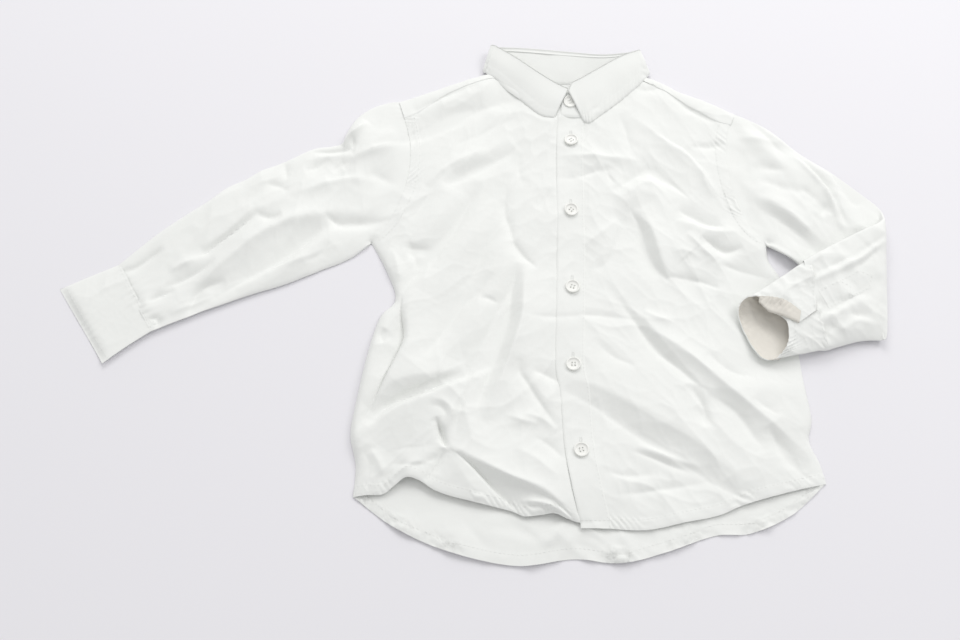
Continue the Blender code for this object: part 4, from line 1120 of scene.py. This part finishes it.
def build_left_cuff(cotton, inside):
    """The unbuttoned cuff of the folded sleeve, from its under-lap to its overlap, whose end turns back. Its
    inner side is painted darker, as shade.
    """
    band = through(LEFT_CUFF_ROWS, np.linspace(0, 1, 220)).reshape(-1, 2, 3)
    t = np.linspace(0, 1, 44)[None, :, None]
    around = np.linspace(0, 1, 220)[:, None]
    rim, seam = band[:, :1], band[:, 1:]
    turned = smoothstep((around - 0.72) / 0.12) * (1 - 0.25 * smoothstep((around - 0.9) / 0.1))
    turned = turned[:, :, None]
    bend = rim + turned * np.array(CUFF_FACING)
    folded = np.where(t < 0.22, rim + (bend - rim) * t / 0.22, bend + (seam - bend) * (t - 0.22) / 0.78)
    share = np.clip(turned / 0.4, 0, 1)
    grid = (rim * (1 - t) + seam * t) * (1 - share) + folded * share
    sunk = np.exp(-((around - 0.58) / 0.16) ** 2)
    grid[..., 2] -= CUFF_SAG * sunk * np.sin(math.pi * np.sqrt(t[..., 0]))
    grid[..., 2] += crumple(1.8 * grid[..., 0], 1.8 * grid[..., 1], 81)
    grid = banded(grid, "left", CUFF_BAND, rise=0.1, pitch=5.0, swing=0.9, seed=83, fade=4)
    return add_cloth("cuff_band_left", "cuff_left", grid, cotton, thickness=BAND, inside=inside)


def surface_of(name):
    """A tree of an object's own faces, to find the cloth that lies under a plan place."""
    mesh = bpy.data.objects[name].data
    return BVHTree.FromPolygons([v.co.copy() for v in mesh.vertices],
                                [tuple(p.vertices) for p in mesh.polygons])


def dropped(tree, x, y):
    """The point and the upward normal where a plan place meets the cloth from above, or else nearby."""
    origin = Vector(((x - PLAN_MIDDLE[0]) * MM, (y - PLAN_MIDDLE[1]) * MM, 0.1))
    place, normal, _, _ = tree.ray_cast(origin, Vector((0, 0, -1)))
    if place is None:
        place, normal, _, _ = tree.find_nearest(origin - Vector((0, 0, 0.09)))
    point = np.array(place) / MM + np.array((*PLAN_MIDDLE, 0))
    normal = np.array(normal)
    return point, normal if normal[2] > 0 else -normal


def build_sleeve_placket(cotton):
    """The pointed placket above the folded sleeve's cuff, lying on the sleeve's own cloth."""
    tree = surface_of("sleeve_tube_left")
    along = np.array(SLEEVE_PLACKET_ALONG)
    out = np.array((-along[1], along[0]))
    grid = np.zeros((36, 60, 3))
    for r, side in enumerate(np.linspace(-0.5, 0.5, grid.shape[0])):
        reach = SLEEVE_PLACKET_LENGTH - 16.0 * abs(side)
        for c, t in enumerate(np.linspace(0, 1, grid.shape[1])):
            place = SLEEVE_PLACKET_START + along * reach * t + out * side * SLEEVE_PLACKET_WIDTH
            found = dropped(tree, *place)
            grid[r, c] = (*place, found[0][2] + 0.18 + 0.2 * ripple(place[0], place[1], 5, 91))
    add_cloth("sleeve_placket_band", "sleeve_placket_left", grid[::-1], cotton, thickness=0.6)
    return grid


def spaced(line, spacing):
    """Points at an even spacing along a line, with the unit direction at each."""
    run = run_of(line)
    count = max(2, int(run[-1] / spacing))
    places = (np.arange(count) + 0.5) * run[-1] / count
    along = read_along(line, run, places + 0.5) - read_along(line, run, places - 0.5)
    return read_along(line, run, places), along / np.linalg.norm(along, axis=1)[:, None]


def stitch_shape(length, thickness):
    """One stitch: a low arch of thread along x, whose ends go into the cloth."""
    sides = stations = 5
    s, turn = np.meshgrid(np.linspace(-1, 1, stations), 2 * math.pi * np.arange(sides) / sides, indexing="ij")
    radius = thickness / 2 * (1 - 0.45 * s ** 6)
    height = thickness * 0.15 - thickness * 0.55 * s ** 4
    vertices = np.dstack((s * length / 2, radius * np.cos(turn), height + radius * np.sin(turn)))
    faces = quads(stations, sides, True)[..., [0, 3, 2, 1]].reshape(-1, 4).tolist()
    ends = [list(range(sides))[::-1], list(range((stations - 1) * sides, stations * sides))]
    return vertices.reshape(-1, 3), faces + ends


def add_stitches(name, rows, thread, length=STITCH_LENGTH, thickness=THREAD):
    """Rows of stitches as one mesh. Each row is the stitches' places and directions."""
    shape, shape_faces = stitch_shape(length, thickness)
    vertices, faces = [], []
    for points, along in rows:
        side = np.cross((0, 0, 1), along)
        side /= np.linalg.norm(side, axis=1)[:, None]
        for point, a, s, u in zip(points, along, side, np.cross(along, side)):
            offset = len(vertices) * len(shape)
            vertices.append(point + shape[:, :1] * a + shape[:, 1:2] * s + shape[:, 2:] * u)
            faces.extend([[v + offset for v in face] for face in shape_faces])
    add_piece(name, np.concatenate(vertices), faces, thread)


def turned_body(profile, sides):
    """A body turned about z from a profile of radii and heights that begins and ends on the axis."""
    turn = 2 * math.pi * np.arange(sides) / sides
    rings = [np.column_stack((r * np.cos(turn), r * np.sin(turn), np.full(sides, h)))
             for r, h in profile[1:-1]]
    vertices = np.concatenate((*rings, ((0, 0, profile[0][1]), (0, 0, profile[-1][1]))))
    faces = quads(len(rings), sides, True)[..., [0, 3, 2, 1]].reshape(-1, 4).tolist()
    low, last = len(vertices) - 2, len(vertices) - 2 - sides
    for k in range(sides):
        after = (k + 1) % sides
        faces += [[low, after, k], [low + 1, last + k, last + after]]
    return vertices, faces


def button_mesh(plastic):
    """A turned four-hole shirt button with a raised rim, in millimetres about its own middle."""
    radius, thick = BUTTON_DIAMETER / 2, BUTTON_THICKNESS
    profile = [(0.0, 0.05), (radius * 0.62, 0.0), (radius * 0.84, thick * 0.12),
               (radius * 0.96, thick * 0.36)]
    for turn in np.linspace(-0.3, math.pi - 0.35, 9):
        profile.append((radius * 0.905 + radius * 0.095 * math.cos(turn),
                        thick * 0.82 + thick * 0.18 * math.sin(turn)))
    profile += [(radius * 0.74, thick * 0.68), (radius * 0.66, thick * 0.6), (radius * 0.5, thick * 0.56),
                (0.0, thick * 0.55)]
    blank = new_object("button_blank", new_mesh("button", *turned_body(profile, 56), plastic))
    low, high = -1.0, thick + 1.0
    drill, faces = turned_body(((0, low), (HOLE_RADIUS, low), (HOLE_RADIUS, high), (0, high)), 16)
    drills, drill_faces = [], []
    for place in ((-0.5, -0.5, 0), (-0.5, 0.5, 0), (0.5, -0.5, 0), (0.5, 0.5, 0)):
        drill_faces += [[v + len(drills) * len(drill) for v in face] for face in faces]
        drills.append(drill + np.array(place) * HOLE_PITCH)
    cutter = new_object("button_drill", new_mesh("drills", np.concatenate(drills), drill_faces, plastic))
    cut = blank.modifiers.new("holes", "BOOLEAN")
    cut.object = cutter
    cut.operation = "DIFFERENCE"
    made = bpy.data.meshes.new_from_object(blank.evaluated_get(bpy.context.evaluated_depsgraph_get()))
    bpy.data.objects.remove(blank, do_unlink=True)
    bpy.data.objects.remove(cutter, do_unlink=True)
    made.shade_smooth()
    made.set_sharp_from_angle(angle=math.radians(35))
    made.materials.clear()
    made.materials.append(plastic)
    return made


def thread_bars(thread):
    """The two bars of thread that hold a button down through its holes."""
    shape, faces = stitch_shape(HOLE_PITCH + 0.5, 0.4)
    bars = [shape + (0, side * HOLE_PITCH / 2, 0.66 * BUTTON_THICKNESS) for side in (-1, 1)]
    both = faces + [[v + len(shape) for v in face] for face in faces]
    return new_mesh("button_thread", np.concatenate(bars), both, thread)


def add_button(number, mesh, bars, found, spin):
    """One button with its thread, lying along the cloth below it."""
    place, normal = found
    tilt = Vector((0, 0, 1)).rotation_difference(Vector(normal))
    location = Vector((place - normal * BUTTON_SINK - np.array((*PLAN_MIDDLE, 0))) * MM)
    for name, shape, slot in ((f"shirt_button_{number}", mesh, "white_plastic"),
                              (f"button_thread_{number}", bars, "white_cotton")):
        made = new_object(name, shape)
        made.rotation_mode = "QUATERNION"
        made.rotation_quaternion = tilt @ Quaternion((0, 0, 1), spin)
        made.location = location
        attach(made, "root")
        if shape is mesh:
            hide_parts(f"button_{number}")


def buttonhole_stitches(tree, x, y):
    """Places and directions of the close stitches down both sides of one buttonhole and over its ends."""
    steps = np.arange(0, BUTTONHOLE_LENGTH, 0.55)
    places = [(x + 0.7 * side, y - 1.5 + t) for side in (-1, 1) for t in steps]
    ways = [(1.0, 0, 0)] * len(places)
    places += [(x + shift, y - 1.5 + end) for end in (0, BUTTONHOLE_LENGTH) for shift in (-0.6, 0, 0.6)]
    ways += [(0, 1.0, 0)] * (len(places) - len(ways))
    return np.array([dropped(tree, *place)[0] for place in places]) + (0, 0, 0.02), np.array(ways)


def new_material(name, roughness, specular):
    """A new material, with its node tree and its shader."""
    made = bpy.data.materials.new(name)
    made.use_nodes = True
    shader = made.node_tree.nodes["Principled BSDF"]
    shader.inputs["Roughness"].default_value = roughness
    shader.inputs["Specular IOR Level"].default_value = specular
    return made, made.node_tree, shader


def add_node(tree, kind, inputs, **settings):
    """A new node with its settings. Each of its inputs is given a value or linked to a socket."""
    node = tree.nodes.new("ShaderNode" + kind)
    for name, value in settings.items():
        setattr(node, name, value)
    for name, value in inputs.items():
        if isinstance(value, bpy.types.NodeSocket):
            tree.links.new(value, node.inputs[name])
        else:
            node.inputs[name].default_value = value
    return node


def cloud_colour(tree, shader, low, high, scale, detail):
    """Colours the shader in soft patches between two tones that are close together."""
    where = add_node(tree, "TexCoord", {}).outputs["Object"]
    tone = add_node(tree, "TexNoise", {"Scale": scale, "Detail": detail, "Vector": where})
    mixed = add_node(tree, "Mix", {"A": (*low, 1.0), "B": (*high, 1.0), "Factor": tone.outputs["Fac"]},
                     data_type="RGBA")
    tree.links.new(mixed.outputs["Result"], shader.inputs["Base Color"])


def cotton_material(name, colour, weave_pitch=0.45, bump=0.25, roughness=0.88):
    """Plain woven cotton: two crossing sets of threads, slubs and a soft unevenness of tone."""
    made, tree, shader = new_material(name, roughness, 0.25)
    shader.inputs["Sheen Weight"].default_value = 0.12
    shader.inputs["Sheen Roughness"].default_value = 0.5
    cloud_colour(tree, shader, [0.965 * c for c in colour], colour, 14.0, 3.0)
    cloth = add_node(tree, "TexCoord", {}).outputs["UV"]
    scale = 2 * math.pi / (20 * weave_pitch * MM)
    look = {"Scale": scale, "Distortion": 0.6, "Detail": 1.0, "Vector": cloth}
    warp, weft = (add_node(tree, "TexWave", look, bands_direction=direction) for direction in ("X", "Y"))
    weave = add_node(tree, "Math", {0: warp.outputs["Fac"], 1: weft.outputs["Fac"]}, operation="MULTIPLY")
    slub = add_node(tree, "TexNoise", {"Scale": 260.0, "Detail": 4.0, "Vector": cloth})
    height = add_node(tree, "Math", {0: slub.outputs["Fac"], 1: 0.7, 2: weave.outputs["Value"]},
                      operation="MULTIPLY_ADD")
    relief = add_node(tree, "Bump",
                      {"Strength": bump, "Distance": 0.00008, "Height": height.outputs["Value"]})
    tree.links.new(relief.outputs["Normal"], shader.inputs["Normal"])
    return made


def plastic_material():
    """Resin buttons: white with a faint cloud, and a soft gloss."""
    made, tree, shader = new_material("button_resin", 0.34, 0.5)
    cloud_colour(tree, shader, (0.82, 0.82, 0.79), (0.9, 0.9, 0.87), 180.0, 3.0)
    return made


def build_table():
    """The plain pale floor."""
    finish, tree, shader = new_material("pale_table", 0.6, 0.2)
    cloud_colour(tree, shader, [0.985 * c for c in FLOOR_COLOUR], FLOOR_COLOUR, 3.0, 2.0)
    corners = [(x * TABLE_HALF, y * TABLE_HALF, 0) for x, y in ((-1, -1), (1, -1), (1, 1), (-1, 1))]
    table = new_object("table", new_mesh("table", corners, [(0, 1, 2, 3)], finish))
    table.location.z = -TABLE_GAP * MM


def place_camera():
    camera = bpy.data.cameras.new("camera")
    camera.sensor_fit = "HORIZONTAL"
    camera.sensor_width = SENSOR
    camera.lens = LENS
    made = new_object("camera", camera)
    made.location = ((SIGHT_FOOT[0] - PLAN_MIDDLE[0]) * MM, (SIGHT_FOOT[1] - PLAN_MIDDLE[1]) * MM,
                     SIGHT_HEIGHT * MM)
    made.rotation_euler = (math.radians(SIGHT_TILT), 0, 0)
    bpy.context.scene.camera = made


def place_lights():
    """A large soft light from beyond the collar, a second one from the right, and an even sky."""
    world = bpy.data.worlds.new("studio")
    world.use_nodes = True
    background = world.node_tree.nodes["Background"]
    background.inputs["Color"].default_value = (1.0, 1.0, 1.0, 1.0)
    background.inputs["Strength"].default_value = WORLD_STRENGTH
    bpy.context.scene.world = world
    for name, place, size, power in (("key", KEY_PLACE, KEY_SIZE, KEY_POWER),
                                     ("fill", FILL_PLACE, FILL_SIZE, FILL_POWER)):
        light = bpy.data.lights.new(name, "AREA")
        light.shape = "RECTANGLE"
        light.size, light.size_y = size
        light.energy = power
        light.color = LIGHT_COLOUR
        made = new_object(name, light)
        made.location = place
        made.rotation_euler = (-Vector(place)).to_track_quat("-Z", "Y").to_euler()
    bpy.context.scene.view_settings.view_transform = "Standard"


def main():
    cotton = cotton_material("washed_cotton", COTTON_COLOUR)
    thread = cotton_material("sewing_thread", THREAD_COLOUR, weave_pitch=0.3, bump=0.1, roughness=0.7)
    # The open cuff's inner side: white cotton painted darker and warmer, as shade.
    inside = cotton_material("cuff_inside_painted_shade", CUFF_INSIDE_SHADE_COLOUR)
    grids = {"back": build_back(cotton), "yoke": build_yoke(cotton), "right": build_front(-1, cotton),
             "left": build_front(1, cotton), "placket": build_placket(cotton), "leaf": build_collar(cotton)}
    build_label(cotton)
    grids["sleeve"], grids["cuff"] = build_right_sleeve(cotton)
    build_left_sleeve(cotton)
    grids["open cuff"] = build_left_cuff(cotton, inside)
    grids["sleeve placket"] = build_sleeve_placket(cotton)
    lines = [inset_line(grids[piece], *run) for piece, *run in STITCH_RUNS]
    add_stitches("topstitching", [spaced(line, STITCH_LENGTH + STITCH_GAP) for line in lines], thread)
    tree = surface_of("placket_band")
    holes = [buttonhole_stitches(tree, x, y) for x, y in BUTTON_PLACES]
    add_stitches("buttonhole_stitching", holes, thread, 1.3, 0.24)
    mesh, bars = button_mesh(plastic_material()), thread_bars(thread)
    for number, (x, y) in enumerate(BUTTON_PLACES, start=2):
        add_button(number, mesh, bars, dropped(tree, x, y), 0.3 * number)
    add_button(1, mesh, bars, dropped(surface_of("collar_stand_band"), *STAND_BUTTON_PLACE), 0.5)
    build_table()
    place_camera()
    place_lights()


main()
